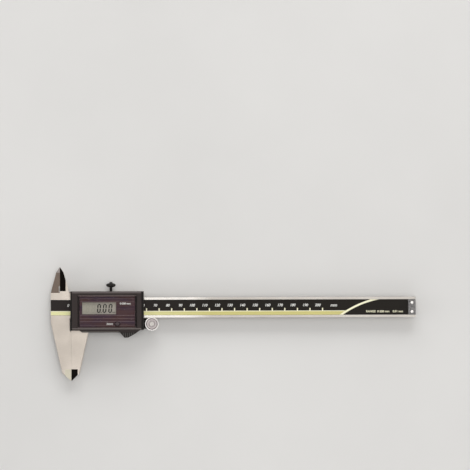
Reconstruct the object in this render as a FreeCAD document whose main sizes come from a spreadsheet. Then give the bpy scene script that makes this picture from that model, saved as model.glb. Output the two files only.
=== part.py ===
import FreeCAD, Part
import operator
import os

import Sketcher

# A solar-powered digital caliper, 200 mm range, closed at zero.
# Working coordinates, in millimetres: X along the beam and away from the fixed jaw, Y towards the
# inside blades, Z out of the display. X = 0 is the closed measuring plane, Y = 0 the middle of the
# beam's width and Z = 0 the beam's back face. Every sub-part's Placement then moves it into the
# object's own frame, whose origin is the middle of the base of its bounding box.

SIZES = {
    # beam and its fixed head
    "beam_width": 16.0,
    "beam_thick": 3.5,
    "beam_reach": 274.0,        # measuring plane to the beam's free end
    "head_reach": 16.3,         # measuring plane to the head's outer edge
    "head_straight": 12.0,      # where the head's outer edge starts to taper, below the beam's middle
    "head_curve": 14.0,
    "corner_curve": 1.0,
    "jaw_bevel": 0.6,           # along the jaws' outer edges, in front
    "jaw_depth": 50.0,          # outside jaws, below the beam's lower edge
    "jaw_shoulder_in": 7.3,     # corner above the tip of the fixed jaw
    "jaw_shoulder_up": 6.0,
    "tip_flat": 0.6,
    "relief_gap": 1.15,         # clearance slot above the measuring faces
    "relief_end": 19.3,
    "face_gap": 0.02,           # light gap between closed faces
    "channel_width": 12.4,      # front channel for the scale
    "channel_depth": 0.8,
    "groove_width": 4.2,        # back groove for the depth rod
    "groove_depth": 1.7,
    "groove_start": 12.0,
    # knife facets on the outside jaw tips
    "facet_width": 5.1,
    "facet_height": 9.0,
    "facet_depth": 1.3,
    # inside blades, which pass each other at the middle of the thickness
    "blade_edge": 9.0,          # measuring edges, left of the measuring plane
    "blade_height": 24.0,       # above the beam's upper edge
    "blade_tip": 0.35,
    "blade_shoulder": 2.94,
    "blade_shoulder_drop": 4.0,
    "blade_root": 7.05,
    "blade_root_up": 5.2,
    "blade_facet": 4.7,
    "blade_edge_thick": 0.35,
    "blade_relief": 1.0,
    "blade_relief_up": 9.7,
    "lug_up": 3.7,
    "lug_neck_up": 2.5,
    "bridge_up": 4.2,
    # slider
    "slider_start": 0.9,
    "slider_end": 57.4,
    "slider_low": 12.5,
    "slider_high": 12.8,
    "slider_back": 2.6,         # behind the beam's back face
    "lip_top": 4.4,
    "run_gap": 0.03,            # sliding clearance round the beam
    "gib_thick": 1.0,
    "gib_inset": 2.5,
    "slide_jaw_root": 15.8,
    "slide_jaw_wide": 13.85,
    "slide_jaw_wide_at": 19.5,
    "slide_jaw_top": 18.0,
    "slide_jaw_shoulder": 6.7,
    "reader_margin": 2.6,       # reader window, in from each end of the slider
    "plate_recess": 0.3,        # blank plate on the slider's back
    "plate_thick": 0.25,
    "plate_start": 9.0,
    "plate_end": 43.5,
    "plate_low": 6.8,
    "plate_high": 8.0,
    # fasteners
    "screw_radius": 0.58,
    "screw_head": 1.3,
    "screw_head_high": 0.7,
    "screw_seat_deep": 0.8,
    "screw_play": 0.12,         # clearance bore round a shank, on the radius
    "head_play": 0.15,
    "recess_deep": 0.35,        # slot or cross in a screw's head
    "recess_half": 0.16,
    "tap_gap": 0.03,            # between a screw and the hole it is driven into
    "short_screw": 3.6,
    "housing_screw": 9.6,
    "fastener_x_low": 4.6,
    "fastener_x_high": 52.8,
    "fastener_y_low": 10.4,
    "fastener_y_high": 10.95,
    # lock screw and gib screws
    "lock_x": 31.6,
    "lock_radius": 1.1,
    "lock_knob_radius": 3.7,
    "lock_knob_start": 16.2,
    "lock_knob_end": 19.1,
    "lock_crown_end": 20.3,
    "lock_crown_radius": 1.5,
    "lock_taper": 0.9,          # under the knob
    "lock_taper_high": 0.7,
    "lock_round": 0.5,          # over the knob
    "lock_tip_bevel": 0.25,
    "lock_pad_long": 0.8,
    "lock_pad_gap": 0.08,
    "gib_screw_radius": 0.95,
    "gib_screw_long": 3.3,
    "gib_screw_inset": 8.0,
    # display housing
    "housing_start": -0.15,
    "housing_end": 57.9,
    "housing_high": 13.0,
    "housing_low": 17.5,
    "housing_skirt": 19.7,
    "housing_top": 12.0,
    "housing_base": 4.45,
    "skirt_base": 0.8,          # behind the beam's back face
    "bevel": 1.4,
    "lower_bevel": 1.35,
    "skirt_rise": 3.6,          # housing's top down to where its lower side slopes out to the skirt
    "skirt_fall": 5.0,
    "skirt_gap": 0.1,
    "end_bevel": 1.5,
    "wall": 2.0,
    "boss_radius": 1.65,
    "boss_tap_deep": 4.2,
    "ledge_under": 9.6,
    "window_floor": 10.45,
    "window_thick": 1.2,
    "window_start": 5.4,
    "window_end": 52.8,
    "window_low": 16.1,
    "window_high": 10.4,
    "window_border": 1.6,
    "window_border_low": 0.7,
    "window_border_high": 1.0,
    "notch_x": 6.6,
    "notch_y": 18.1,
    "notch_slope": 2.4,
    "rest_start": 38.4,
    "rest_end": 55.6,
    "rest_drop": 23.9,
    "rest_lead": 4.0,           # the rest's edge: a slope, a flat, and a longer slope
    "rest_flat": 3.0,
    "rest_tail": 5.6,
    "rest_tail_rise": 3.2,
    "rest_top": 5.4,            # housing's top down to the thumb rest
    "rest_fall": 3.6,           # how far the rest slopes down towards its edge
    # display stack
    "board_top": 5.45,
    "lcd_ledge": 7.85,
    "lcd_thick": 1.6,
    "lcd_view_start": 9.2,
    "lcd_view_end": 36.1,
    "lcd_view_low": 5.1,
    "lcd_view_high": 4.4,
    "lcd_border": 0.8,          # glass under the solar cell, and the lower plate's contact ledges
    "connector_wide": 1.2,
    "board_thick": 1.0,
    "reader_start": 10.0,
    "reader_end": 48.0,
    "reader_half": 5.9,
    "reader_lift": 0.13,        # reader head above the beam
    "chip_start": 18.0,
    "chip_end": 26.0,
    "chip_high": 1.0,
    "chip_inset": 1.6,          # in from the display opening's edges
    "can_x": 44.0,
    "can_y": 1.0,
    "can_radius": 4.2,
    "can_high": 2.6,
    "solar_thick": 0.7,
    "button_x": 37.1,
    "button_y": 12.7,
    "button_half_long": 1.55,
    "button_half_wide": 1.2,
    "button_travel": 0.4,
    "button_flange": 0.75,
    "button_ceiling": 9.1,
    "dome_high": 0.45,
    # thumb roller and its arm
    "roller_x": 64.2,
    "roller_y": 13.0,
    "roller_hub": 4.97,
    "roller_flange": 5.55,
    "roller_front": 5.0,
    "roller_back": 0.5,         # behind the beam's back face
    "roller_rim": 0.3,
    "pin_radius": 1.0,
    "pin_head": 1.75,
    "pin_head_high": 0.45,
    "arm_back": 2.5,
    "arm_thick": 1.38,
    "arm_radius": 4.0,
    "arm_start": 45.0,
    "arm_screw_x": 47.8,
    "arm_tap_deep": 3.0,
    # depth rod
    "rod_width": 4.0,
    "rod_thick": 1.53,
    "rod_start": 14.0,
    "rod_notch": 1.4,
    "rod_screw_near": 47.5,
    "rod_screw_far": 52.0,
    "rod_screw_long": 3.4,
    "rod_tap_deep": 1.1,
    # end stop
    "stop_start": 268.2,
    "stop_thick": 1.9,
    "stop_screw_y": 3.6,
}

SIGNS = {"+": operator.add, "-": operator.sub, "*": operator.mul, "/": operator.truediv}

doc = FreeCAD.newDocument("digital_caliper")
sheet = doc.addObject("Spreadsheet::Sheet", "dims")
nodes = {}


class Size:
    """A length held as a number and as the spreadsheet expression that gives it."""

    def __init__(self, number, text):
        self.number = number
        self.text = text

    def __add__(self, other):
        return joined(self, "+", other)

    def __radd__(self, other):
        return joined(other, "+", self)

    def __sub__(self, other):
        return joined(self, "-", other)

    def __rsub__(self, other):
        return joined(other, "-", self)

    def __mul__(self, other):
        return joined(self, "*", other)

    def __rmul__(self, other):
        return joined(other, "*", self)

    def __truediv__(self, other):
        return joined(self, "/", other)

    def __neg__(self):
        return Size(-self.number, f"(-{self.text})")


def as_size(value):
    if isinstance(value, Size):
        return value
    return Size(float(value), f"{float(value):.6f}")


def joined(left, sign, right):
    left, right = as_size(left), as_size(right)
    return Size(SIGNS[sign](left.number, right.number), f"({left.text} {sign} {right.text})")


class Sheet:
    """Puts each driving size in a spreadsheet cell and offers it as a Size."""

    def __init__(self, sizes):
        for row, (alias, value) in enumerate(sizes.items(), start=1):
            sheet.set(f"A{row}", alias)
            sheet.set(f"B{row}", str(value))
            sheet.setAlias(f"B{row}", alias)
            setattr(self, alias, Size(value, f"dims.{alias}"))
        doc.recompute()


d = Sheet(SIZES)

PAST = 1.0                      # how far a cutting shape runs past the material
SNUG = 0.1                      # play between pieces that are dropped into one another
HAIR = 0.05                     # play between faces that nearly meet

# Places that several sub-parts share.
edge = d.beam_width / 2
jaw_low = edge + d.jaw_depth
blade_top = edge + d.blade_height
split_back = d.beam_thick / 2 - d.face_gap
split_front = d.beam_thick / 2 + d.face_gap
tunnel_high = edge + d.gib_thick + d.run_gap * 2
tunnel_front = d.beam_thick + d.run_gap
lock_z = d.beam_thick / 2
window_top = d.window_floor + d.window_thick
screw_sunk = d.screw_seat_deep - d.screw_head_high
stop_top = d.beam_thick - d.channel_depth + d.stop_thick
stop_screw_x = (d.stop_start + d.beam_reach) / 2
solar_top = d.window_floor - HAIR
solar_low = solar_top - d.solar_thick
gib_outer = edge + d.run_gap + d.gib_thick
chip_room = d.chip_inset - 0.3
ORIGIN = (
    (d.beam_reach - d.head_reach) / 2,
    (blade_top - jaw_low) / 2,
    -d.slider_back,
)
ZERO = (0, 0, 0)


# --- document helpers ---------------------------------------------------------------------------


def put(obj, **properties):
    """Bind properties to sheet expressions; a double underscore stands for a dot."""
    for name, value in properties.items():
        obj.setExpression(name.replace("__", "."), as_size(value).text)
    return obj


def at(obj, place):
    x, y, z = place
    return put(obj, Placement__Base__x=x, Placement__Base__y=y, Placement__Base__z=z)


def node(obj, label, place=ZERO):
    """Register a finished sub-part and seat it in the object's own frame."""
    obj.Label = label
    at(obj, [as_size(here) - origin for here, origin in zip(place, ORIGIN)])
    nodes[label] = obj
    return obj


def box(name, x, y, z):
    """A block between three pairs of limits."""
    block = doc.addObject("Part::Box", name)
    put(block, Length=as_size(x[1]) - x[0], Width=as_size(y[1]) - y[0], Height=as_size(z[1]) - z[0])
    return at(block, (x[0], y[0], z[0]))


def cylinder(name, radius, height, place=ZERO, turn=None):
    rod = doc.addObject("Part::Cylinder", name)
    if turn:
        rod.Placement.Rotation = turn
    put(rod, Radius=radius, Height=height)
    return at(rod, place)


def fuse(name, shapes):
    joint = doc.addObject("Part::MultiFuse", name)
    joint.Shapes = shapes
    return joint


def cut(name, base, tools):
    result = doc.addObject("Part::Cut", name)
    result.Base = base
    result.Tool = tools[0] if len(tools) == 1 else fuse(f"{name}_tools", tools)
    return result


def group(name, shapes):
    compound = doc.addObject("Part::Compound", name)
    compound.Links = shapes
    return compound


def oval(name, grow, low, high):
    """An upright elliptic prism at the button's place, larger than the cap by grow."""
    ring = doc.addObject("Part::Ellipse", f"{name}_ring")
    put(ring, MajorRadius=d.button_half_long + grow, MinorRadius=d.button_half_wide + grow)
    at(ring, (d.button_x, -d.button_y, low))
    prism = doc.addObject("Part::Extrusion", name)
    prism.Base = ring
    prism.DirMode = "Custom"
    prism.Dir = FreeCAD.Vector(0, 0, 1)
    prism.Solid = True
    return put(prism, LengthFwd=as_size(high) - low)


def new_body(name):
    return doc.addObject("PartDesign::Body", name)


def sketch(body, name, role="XY_Plane", offset=0):
    """A sketch on one of the body's own origin planes, moved along that plane's normal."""
    drawing = body.newObject("Sketcher::SketchObject", name)
    plane = next(item for item in body.Origin.OriginFeatures if item.Role == role)
    drawing.AttachmentSupport = [(plane, "")]
    drawing.MapMode = "FlatFace"
    return put(drawing, AttachmentOffset__Base__z=offset)


def outline(drawing, points):
    """A closed outline; every corner is held by its two coordinates."""
    corners = [(as_size(x), as_size(y)) for x, y in points]
    first = drawing.GeometryCount
    count = len(corners)
    ends = [FreeCAD.Vector(x.number, y.number, 0) for x, y in corners]
    for index in range(count):
        drawing.addGeometry(Part.LineSegment(ends[index], ends[(index + 1) % count]))
    for index in range(count):
        follower = first + (index + 1) % count
        drawing.addConstraint(Sketcher.Constraint("Coincident", first + index, 2, follower, 1))
    for index, corner in enumerate(corners):
        for kind, value in zip(("DistanceX", "DistanceY"), corner):
            rule = drawing.addConstraint(Sketcher.Constraint(kind, first + index, 1, value.number))
            drawing.setExpression(f"Constraints[{rule}]", value.text)
    return drawing


def rectangle(drawing, x, y):
    return outline(drawing, [(x[0], y[0]), (x[1], y[0]), (x[1], y[1]), (x[0], y[1])])


def circle(drawing, x, y, radius):
    x, y, radius = as_size(x), as_size(y), as_size(radius)
    centre = FreeCAD.Vector(x.number, y.number, 0)
    ring = drawing.addGeometry(Part.Circle(centre, FreeCAD.Vector(0, 0, 1), radius.number))
    for kind, value in (("DistanceX", x), ("DistanceY", y)):
        rule = drawing.addConstraint(Sketcher.Constraint(kind, ring, 3, value.number))
        drawing.setExpression(f"Constraints[{rule}]", value.text)
    rule = drawing.addConstraint(Sketcher.Constraint("Radius", ring, radius.number))
    drawing.setExpression(f"Constraints[{rule}]", radius.text)
    return drawing


def pad(body, name, drawing, length):
    feature = body.newObject("PartDesign::Pad", name)
    feature.Profile = drawing
    put(feature, Length=length)
    doc.recompute()
    return feature


def pocket(body, name, drawing, length, along_normal=False):
    """Cut away from the sketch plane, and make sure that something was cut."""
    before = body.Shape.Volume
    feature = body.newObject("PartDesign::Pocket", name)
    feature.Profile = drawing
    feature.Reversed = along_normal
    put(feature, Length=length)
    doc.recompute()
    if body.Shape.Volume > before - 1e-3:
        raise ValueError(f"{name} cut nothing")
    return feature


def revolve(body, name, drawing, axis):
    feature = body.newObject("PartDesign::Revolution", name)
    feature.Profile = drawing
    feature.ReferenceAxis = (drawing, [axis])
    feature.Angle = 360.0
    doc.recompute()
    return feature


def corner_edges(feature, corners, along):
    """Names of the straight edges that run along an axis through given corners."""
    names = []
    for number, side in enumerate(feature.Shape.Edges, start=1):
        if not isinstance(side.Curve, Part.Line):
            continue
        start, end = side.Vertexes[0].Point, side.Vertexes[-1].Point
        spread = [abs(start[axis] - end[axis]) for axis in range(3)]
        flat = [axis for axis in range(3) if axis != along]
        if spread[along] < 1e-4 or any(spread[axis] > 1e-4 for axis in flat):
            continue
        for corner in corners:
            if all(abs(start[axis] - as_size(value).number) < 0.02 for axis, value in zip(flat, corner)):
                names.append(f"Edge{number}")
    if len(names) < len(corners):
        raise ValueError(f"{feature.Name}: found {len(names)} edges for {len(corners)} corners")
    return names


def edges_between(feature, start, end, height):
    """Names of the straight edges that lie on the line between two corners, at one height."""
    ends = [[as_size(value).number for value in (*corner, height)] for corner in (start, end)]
    line = Part.makeLine(*(FreeCAD.Vector(*place) for place in ends))
    names = []
    for number, side in enumerate(feature.Shape.Edges, start=1):
        if isinstance(side.Curve, Part.Line):
            tips = [Part.Vertex(vertex.Point) for vertex in side.Vertexes]
            if all(line.distToShape(tip)[0] < 0.02 for tip in tips):
                names.append(f"Edge{number}")
    if not names:
        raise ValueError(f"{feature.Name} has no edge there")
    return names


def break_edge(body, name, start, end, height, size):
    """Chamfer the straight edge from corner to corner, and what runs on smoothly from it."""
    base = body.Tip
    feature = body.newObject("PartDesign::Chamfer", name)
    feature.Base = (base, edges_between(base, start, end, height))
    put(feature, Size=size)
    doc.recompute()
    return feature


def soften(body, name, kind, corners, size, along=2):
    """Fillet or chamfer the edges through the given corners."""
    base = body.Tip
    feature = body.newObject(f"PartDesign::{kind}", name)
    feature.Base = (base, corner_edges(base, corners, along))
    put(feature, **{"Radius" if kind == "Fillet" else "Size": size})
    doc.recompute()
    return feature


# --- fasteners ----------------------------------------------------------------------------------

INTO_FRONT = FreeCAD.Rotation(FreeCAD.Vector(1, 0, 0), 180)
INTO_BACK = FreeCAD.Rotation()
INTO_TOP_EDGE = FreeCAD.Rotation(FreeCAD.Vector(1, 0, 0), 90)


def screw_holes(through):
    """The clearance bore of a screw and the seat for its head: name, radius, depth."""
    bore = ("bores", d.screw_radius + d.screw_play, through)
    seat = ("seats", d.screw_head + d.head_play, d.screw_seat_deep)
    return bore, seat


def screw(name, place, turn, shank, length, head=None):
    """A cross-recessed pan-head screw, or a slotted grub screw when it has no head."""
    face_share, recess_share = 0.86, 0.62
    pieces = [cylinder(f"{name}_shank", shank, length)]
    if head:
        cap = doc.addObject("Part::Cone", f"{name}_head")
        pieces.append(put(cap, Radius1=head * face_share, Radius2=head, Height=d.screw_head_high))
    body = fuse(f"{name}_body", pieces) if head else pieces[0]
    reach = (head or shank) * recess_share
    along, across, deep = (-reach, reach), (-d.recess_half, d.recess_half), (-SNUG, d.recess_deep)
    recess = [box(f"{name}_slot", along, across, deep)]
    if head:
        recess.append(box(f"{name}_cross", across, along, deep))
    done = cut(name, body, recess)
    done.Placement.Rotation = turn
    return at(done, place)


# --- beam group ---------------------------------------------------------------------------------


def build_main_beam():
    body = new_body("main_beam")
    profile = sketch(body, "beam_profile")
    outline(profile, [
        (d.beam_reach, edge),
        (-d.head_reach, edge),
        (-d.head_reach, -d.head_straight),
        (-d.jaw_shoulder_in, -(jaw_low - d.jaw_shoulder_up)),
        (-d.tip_flat, -jaw_low),
        (0, -jaw_low),
        (0, -d.relief_end),
        (-d.relief_gap, -(d.relief_end - d.relief_gap)),
        (-d.relief_gap, -edge),
        (d.beam_reach, -edge),
    ])
    pad(body, "beam_pad", profile, d.beam_thick)
    soften(body, "head_curve", "Fillet", [(-d.head_reach, -d.head_straight)], d.head_curve)
    soften(body, "relief_corner", "Fillet", [(-d.relief_gap, -edge)], d.corner_curve)
    shoulder = (-d.jaw_shoulder_in, -(jaw_low - d.jaw_shoulder_up))
    soften(body, "shoulder_curve", "Fillet", [shoulder], d.corner_curve)
    head_corner = (-d.head_reach, -d.head_straight)
    break_edge(body, "fixed_jaw_front_edge", head_corner, shoulder, d.beam_thick, d.jaw_bevel / 2)
    break_edge(body, "fixed_jaw_back_edge", head_corner, shoulder, 0, d.jaw_bevel / 2)

    lug = sketch(body, "lug_profile", offset=split_front)
    outline(lug, [
        (-d.head_reach, edge - PAST),
        (-d.relief_gap, edge - PAST),
        (-d.relief_gap, edge + d.lug_neck_up),
        (d.blade_root - d.blade_edge, edge + d.blade_root_up),
        (d.blade_shoulder - d.blade_edge, blade_top - d.blade_shoulder_drop),
        (d.blade_tip - d.blade_edge, blade_top),
        (-d.blade_edge, blade_top),
        (-d.blade_edge, edge + d.lug_up),
        (-d.head_reach, edge + d.lug_up),
    ])
    pad(body, "lug_pad", lug, d.beam_thick - split_front)

    bevel = sketch(body, "blade_bevel", "XZ_Plane", -(edge + d.blade_root_up))
    outline(bevel, [
        (d.blade_facet - d.blade_edge, d.beam_thick),
        (-d.blade_edge, split_front + d.blade_edge_thick),
        (-d.blade_edge - PAST, split_front + d.blade_edge_thick),
        (-d.blade_edge - PAST, d.beam_thick + PAST),
        (d.blade_facet - d.blade_edge, d.beam_thick + PAST),
    ])
    pocket(body, "blade_bevel_cut", bevel, d.blade_height)
    cut_tip_facets(body, -1, 0)

    channel = sketch(body, "channel_profile", offset=d.beam_thick)
    channel_x = (-d.head_reach - PAST, d.beam_reach + PAST)
    rectangle(channel, channel_x, (-d.channel_width / 2, d.channel_width / 2))
    pocket(body, "channel_cut", channel, d.channel_depth)

    groove = sketch(body, "groove_profile")
    rectangle(groove, (d.groove_start, d.beam_reach + PAST), (-d.groove_width / 2, d.groove_width / 2))
    pocket(body, "groove_cut", groove, d.groove_depth, along_normal=True)

    taps = sketch(body, "stop_taps", offset=d.beam_thick)
    for side in (-1, 1):
        circle(taps, stop_screw_x, d.stop_screw_y * side, d.screw_radius + d.tap_gap)
    pocket(body, "stop_taps_cut", taps, d.short_screw - d.screw_head_high)
    return node(body, "main_beam")


def cut_tip_facets(body, side, face):
    """Thin an outside jaw's tip towards its measuring face, from the front and from the back."""
    name = "left" if side < 0 else "right"
    for layer, outer, inward in (("front", d.beam_thick, -1), ("back", as_size(0), 1)):
        wedge = sketch(body, f"{name}_{layer}_facet", "XZ_Plane", jaw_low - d.facet_height)
        inner = outer + d.facet_depth * inward
        beyond = outer - inward
        outline(wedge, [
            (face + d.facet_width * side, outer),
            (as_size(face), inner),
            (as_size(face) - side, inner),
            (as_size(face) - side, beyond),
            (face + d.facet_width * side, beyond),
        ])
        pocket(body, f"{name}_{layer}_facet_cut", wedge, d.facet_height + 1, along_normal=True)


def build_scale():
    """The capacitive scale board glued into the beam's channel, and the printed scale over it."""
    floor = d.beam_thick - d.channel_depth
    board_thick = 0.45
    label_thick = 0.27
    length = d.stop_start + d.head_reach - SNUG * 2
    width = d.channel_width - SNUG * 2
    layers = (("scale_board", floor, board_thick), ("scale_label", floor + board_thick, label_thick))
    for label, low, thick in layers:
        layer = box(label, (0, length), (0, width), (0, thick))
        node(layer, label, (SNUG - d.head_reach, -width / 2, low))


def build_end_stop():
    """A block screwed down between the rails, which stands proud enough to stop the slider."""
    body = new_body("end_stop")
    half = d.channel_width / 2 - HAIR
    block = sketch(body, "stop_profile", offset=d.beam_thick - d.channel_depth)
    rectangle(block, (d.stop_start, d.beam_reach), (-half, half))
    pad(body, "stop_pad", block, d.stop_thick)
    corners = [(x, y) for x in (d.stop_start, d.beam_reach) for y in (-half, half)]
    soften(body, "stop_corners", "Fillet", corners, d.corner_curve / 2)
    for name, radius, depth in screw_holes(d.stop_thick):
        holes = sketch(body, f"stop_{name}", offset=stop_top)
        for side in (-1, 1):
            circle(holes, stop_screw_x, d.stop_screw_y * side, radius)
        pocket(body, f"stop_{name}_cut", holes, depth)
    node(body, "end_stop")

    screws = [
        screw(f"stop_screw_{name}", (stop_screw_x, d.stop_screw_y * side, stop_top - screw_sunk), INTO_FRONT,
              d.screw_radius, d.short_screw, head=d.screw_head)
        for name, side in (("low", -1), ("high", 1))
    ]
    node(group("stop_screws", screws), "end_stop_screws")


# --- slider group -------------------------------------------------------------------------------


def housing_screw_places():
    return [
        (x, y)
        for x in (d.fastener_x_low, d.fastener_x_high)
        for y in (-d.fastener_y_low, d.fastener_y_high)
    ]


def build_slider_frame():
    body = new_body("slider_frame")
    block = sketch(body, "block_profile", offset=-d.slider_back)
    rectangle(block, (d.slider_start, d.slider_end), (-d.slider_low, d.slider_high))
    pad(body, "block_pad", block, d.slider_back + d.lip_top)

    jaw = sketch(body, "jaw_profile")
    outline(jaw, [
        (d.face_gap, -jaw_low),
        (d.face_gap + d.tip_flat, -jaw_low),
        (d.slide_jaw_shoulder, -(jaw_low - d.jaw_shoulder_up)),
        (d.slide_jaw_wide, -d.slide_jaw_wide_at),
        (d.slide_jaw_root, -d.slider_low),
        (d.slide_jaw_root, PAST - d.slider_low),
        (d.slider_start, PAST - d.slider_low),
        (d.slider_start, -d.slide_jaw_top),
        (d.face_gap, -d.slide_jaw_top),
    ])
    pad(body, "jaw_pad", jaw, d.beam_thick)
    wide = (d.slide_jaw_wide, -d.slide_jaw_wide_at)
    shoulder = (d.slide_jaw_shoulder, -(jaw_low - d.jaw_shoulder_up))
    break_edge(body, "slide_jaw_front_edge", wide, shoulder, d.beam_thick, d.jaw_bevel)
    break_edge(body, "slide_jaw_back_edge", wide, shoulder, 0, d.jaw_bevel / 2)

    bridge = sketch(body, "bridge_profile")
    outline(bridge, [
        (-d.head_reach, edge + d.run_gap),
        (d.slider_start + PAST, edge + d.run_gap),
        (d.slider_start + PAST, edge + d.bridge_up),
        (-d.blade_edge - d.blade_relief, edge + d.bridge_up),
        (-d.blade_edge - d.blade_relief, edge + d.blade_relief_up - d.blade_relief),
        (-d.blade_edge - d.face_gap, edge + d.blade_relief_up),
        (-d.blade_edge - d.face_gap, blade_top),
        (-d.blade_edge - d.blade_tip, blade_top),
        (-d.blade_edge - d.blade_shoulder, blade_top - d.blade_shoulder_drop),
        (-d.head_reach, edge + d.lug_up),
    ])
    pad(body, "bridge_pad", bridge, split_back)

    tunnel = sketch(body, "tunnel_profile", "YZ_Plane", d.slider_start - PAST / 2)
    rectangle(tunnel, (-edge - d.run_gap, tunnel_high), (-d.run_gap, tunnel_front))
    pocket(body, "tunnel_cut", tunnel, d.slider_end - d.slider_start + PAST, along_normal=True)

    window = sketch(body, "reader_profile", offset=d.lip_top)
    window_half = d.channel_width / 2
    window_x = (d.slider_start + d.reader_margin, d.slider_end - d.reader_margin)
    rectangle(window, window_x, (-window_half, window_half))
    pocket(body, "reader_cut", window, d.lip_top - tunnel_front + PAST)
    cut_tip_facets(body, 1, d.face_gap)

    bevel = sketch(body, "slide_blade_bevel", "XZ_Plane", -(edge + d.blade_root_up))
    thin = split_back - d.blade_edge_thick
    outline(bevel, [
        (-d.blade_edge - d.blade_facet, 0),
        (-d.blade_edge - d.face_gap, thin),
        (PAST - d.blade_edge, thin),
        (PAST - d.blade_edge, -PAST),
        (-d.blade_edge - d.blade_facet, -PAST),
    ])
    pocket(body, "slide_blade_bevel_cut", bevel, d.blade_height)

    top_holes = sketch(body, "top_holes", "XZ_Plane", -d.slider_high)
    circle(top_holes, d.lock_x, lock_z, d.lock_radius + d.tap_gap)
    for x in gib_screw_places():
        circle(top_holes, x, lock_z, d.gib_screw_radius + d.tap_gap)
    pocket(body, "top_holes_cut", top_holes, d.slider_high - tunnel_high + PAST / 2, along_normal=True)

    for name, radius, depth in screw_holes(d.slider_back + d.lip_top + PAST):
        holes = sketch(body, f"housing_{name}", offset=-d.slider_back)
        for x, y in housing_screw_places():
            circle(holes, x, y, radius)
        pocket(body, f"housing_{name}_cut", holes, depth, along_normal=True)

    recess = sketch(body, "arm_recess", offset=-d.slider_back)
    recess_x = (d.arm_start - SNUG, d.slider_end + PAST)
    rectangle(recess, recess_x, (-d.slider_low - PAST, d.arm_radius - d.roller_y + SNUG))
    pocket(body, "arm_recess_cut", recess, d.slider_back - d.arm_back + d.arm_thick, along_normal=True)

    plate = sketch(body, "plate_recess", offset=-d.slider_back)
    rectangle(plate, (d.plate_start, d.plate_end), (-d.plate_low, d.plate_high))
    pocket(body, "plate_recess_cut", plate, d.plate_recess, along_normal=True)

    for name, radius, depth in screw_holes(d.slider_back + PAST):
        holes = sketch(body, f"rod_{name}", offset=-d.slider_back)
        for x in (d.rod_screw_near, d.rod_screw_far):
            circle(holes, x, 0, radius)
        pocket(body, f"rod_{name}_cut", holes, depth, along_normal=True)

    tap = sketch(body, "arm_tap", offset=d.arm_thick - d.arm_back)
    circle(tap, d.arm_screw_x, -d.fastener_y_low, d.screw_radius + d.tap_gap)
    pocket(body, "arm_tap_cut", tap, d.arm_tap_deep, along_normal=True)

    corners = [(d.slider_high, -d.slider_back), (d.slider_high, d.lip_top)]
    soften(body, "upper_edges", "Chamfer", corners, d.corner_curve / 5, along=0)
    return node(body, "slider_frame")


def gib_screw_places():
    return (d.slider_start + d.gib_screw_inset, d.slider_end - d.gib_screw_inset)


def build_gib():
    lift = 0.15
    long = d.slider_end - d.slider_start - d.gib_inset * 2
    strip = box("gib_strip", (0, long), (0, d.gib_thick), (0, d.beam_thick - lift * 2))
    node(strip, "gib_strip", (d.slider_start + d.gib_inset, gib_outer - d.gib_thick, lift))

    screws = [
        screw(f"gib_screw_{number}", (x, tunnel_high + d.gib_screw_long, lock_z), INTO_TOP_EDGE,
              d.gib_screw_radius, d.gib_screw_long)
        for number, x in enumerate(gib_screw_places(), start=1)
    ]
    node(group("gib_set_screws", screws), "gib_screws")


def build_depth_rod():
    body = new_body("depth_rod")
    profile = sketch(body, "rod_profile")
    half = d.rod_width / 2
    outline(profile, [
        (d.rod_start, -half),
        (d.beam_reach - d.rod_notch, -half),
        (d.beam_reach, d.rod_notch - half),
        (d.beam_reach, half),
        (d.rod_start, half),
    ])
    pad(body, "rod_pad", profile, d.rod_thick)
    taps = sketch(body, "rod_taps")
    for x in (d.rod_screw_near, d.rod_screw_far):
        circle(taps, x, 0, d.screw_radius + d.tap_gap)
    pocket(body, "rod_taps_cut", taps, d.rod_tap_deep, along_normal=True)
    node(body, "depth_rod", (0, 0, -d.run_gap))

    screws = [
        screw(f"rod_screw_{number}", (x, 0, screw_sunk - d.slider_back), INTO_BACK,
              d.screw_radius, d.rod_screw_long, head=d.screw_head)
        for number, x in enumerate((d.rod_screw_near, d.rod_screw_far), start=1)
    ]
    node(group("rod_screws", screws), "depth_rod_screws")


def build_rear_label():
    long = d.plate_end - d.plate_start - SNUG * 2
    wide = d.plate_low + d.plate_high - SNUG * 2
    plate = box("rear_label", (0, long), (0, wide), (0, d.plate_thick))
    low = d.plate_recess - d.slider_back - d.plate_thick
    node(plate, "rear_label", (d.plate_start + SNUG, SNUG - d.plate_low, low))


# --- display group ------------------------------------------------------------------------------


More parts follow.
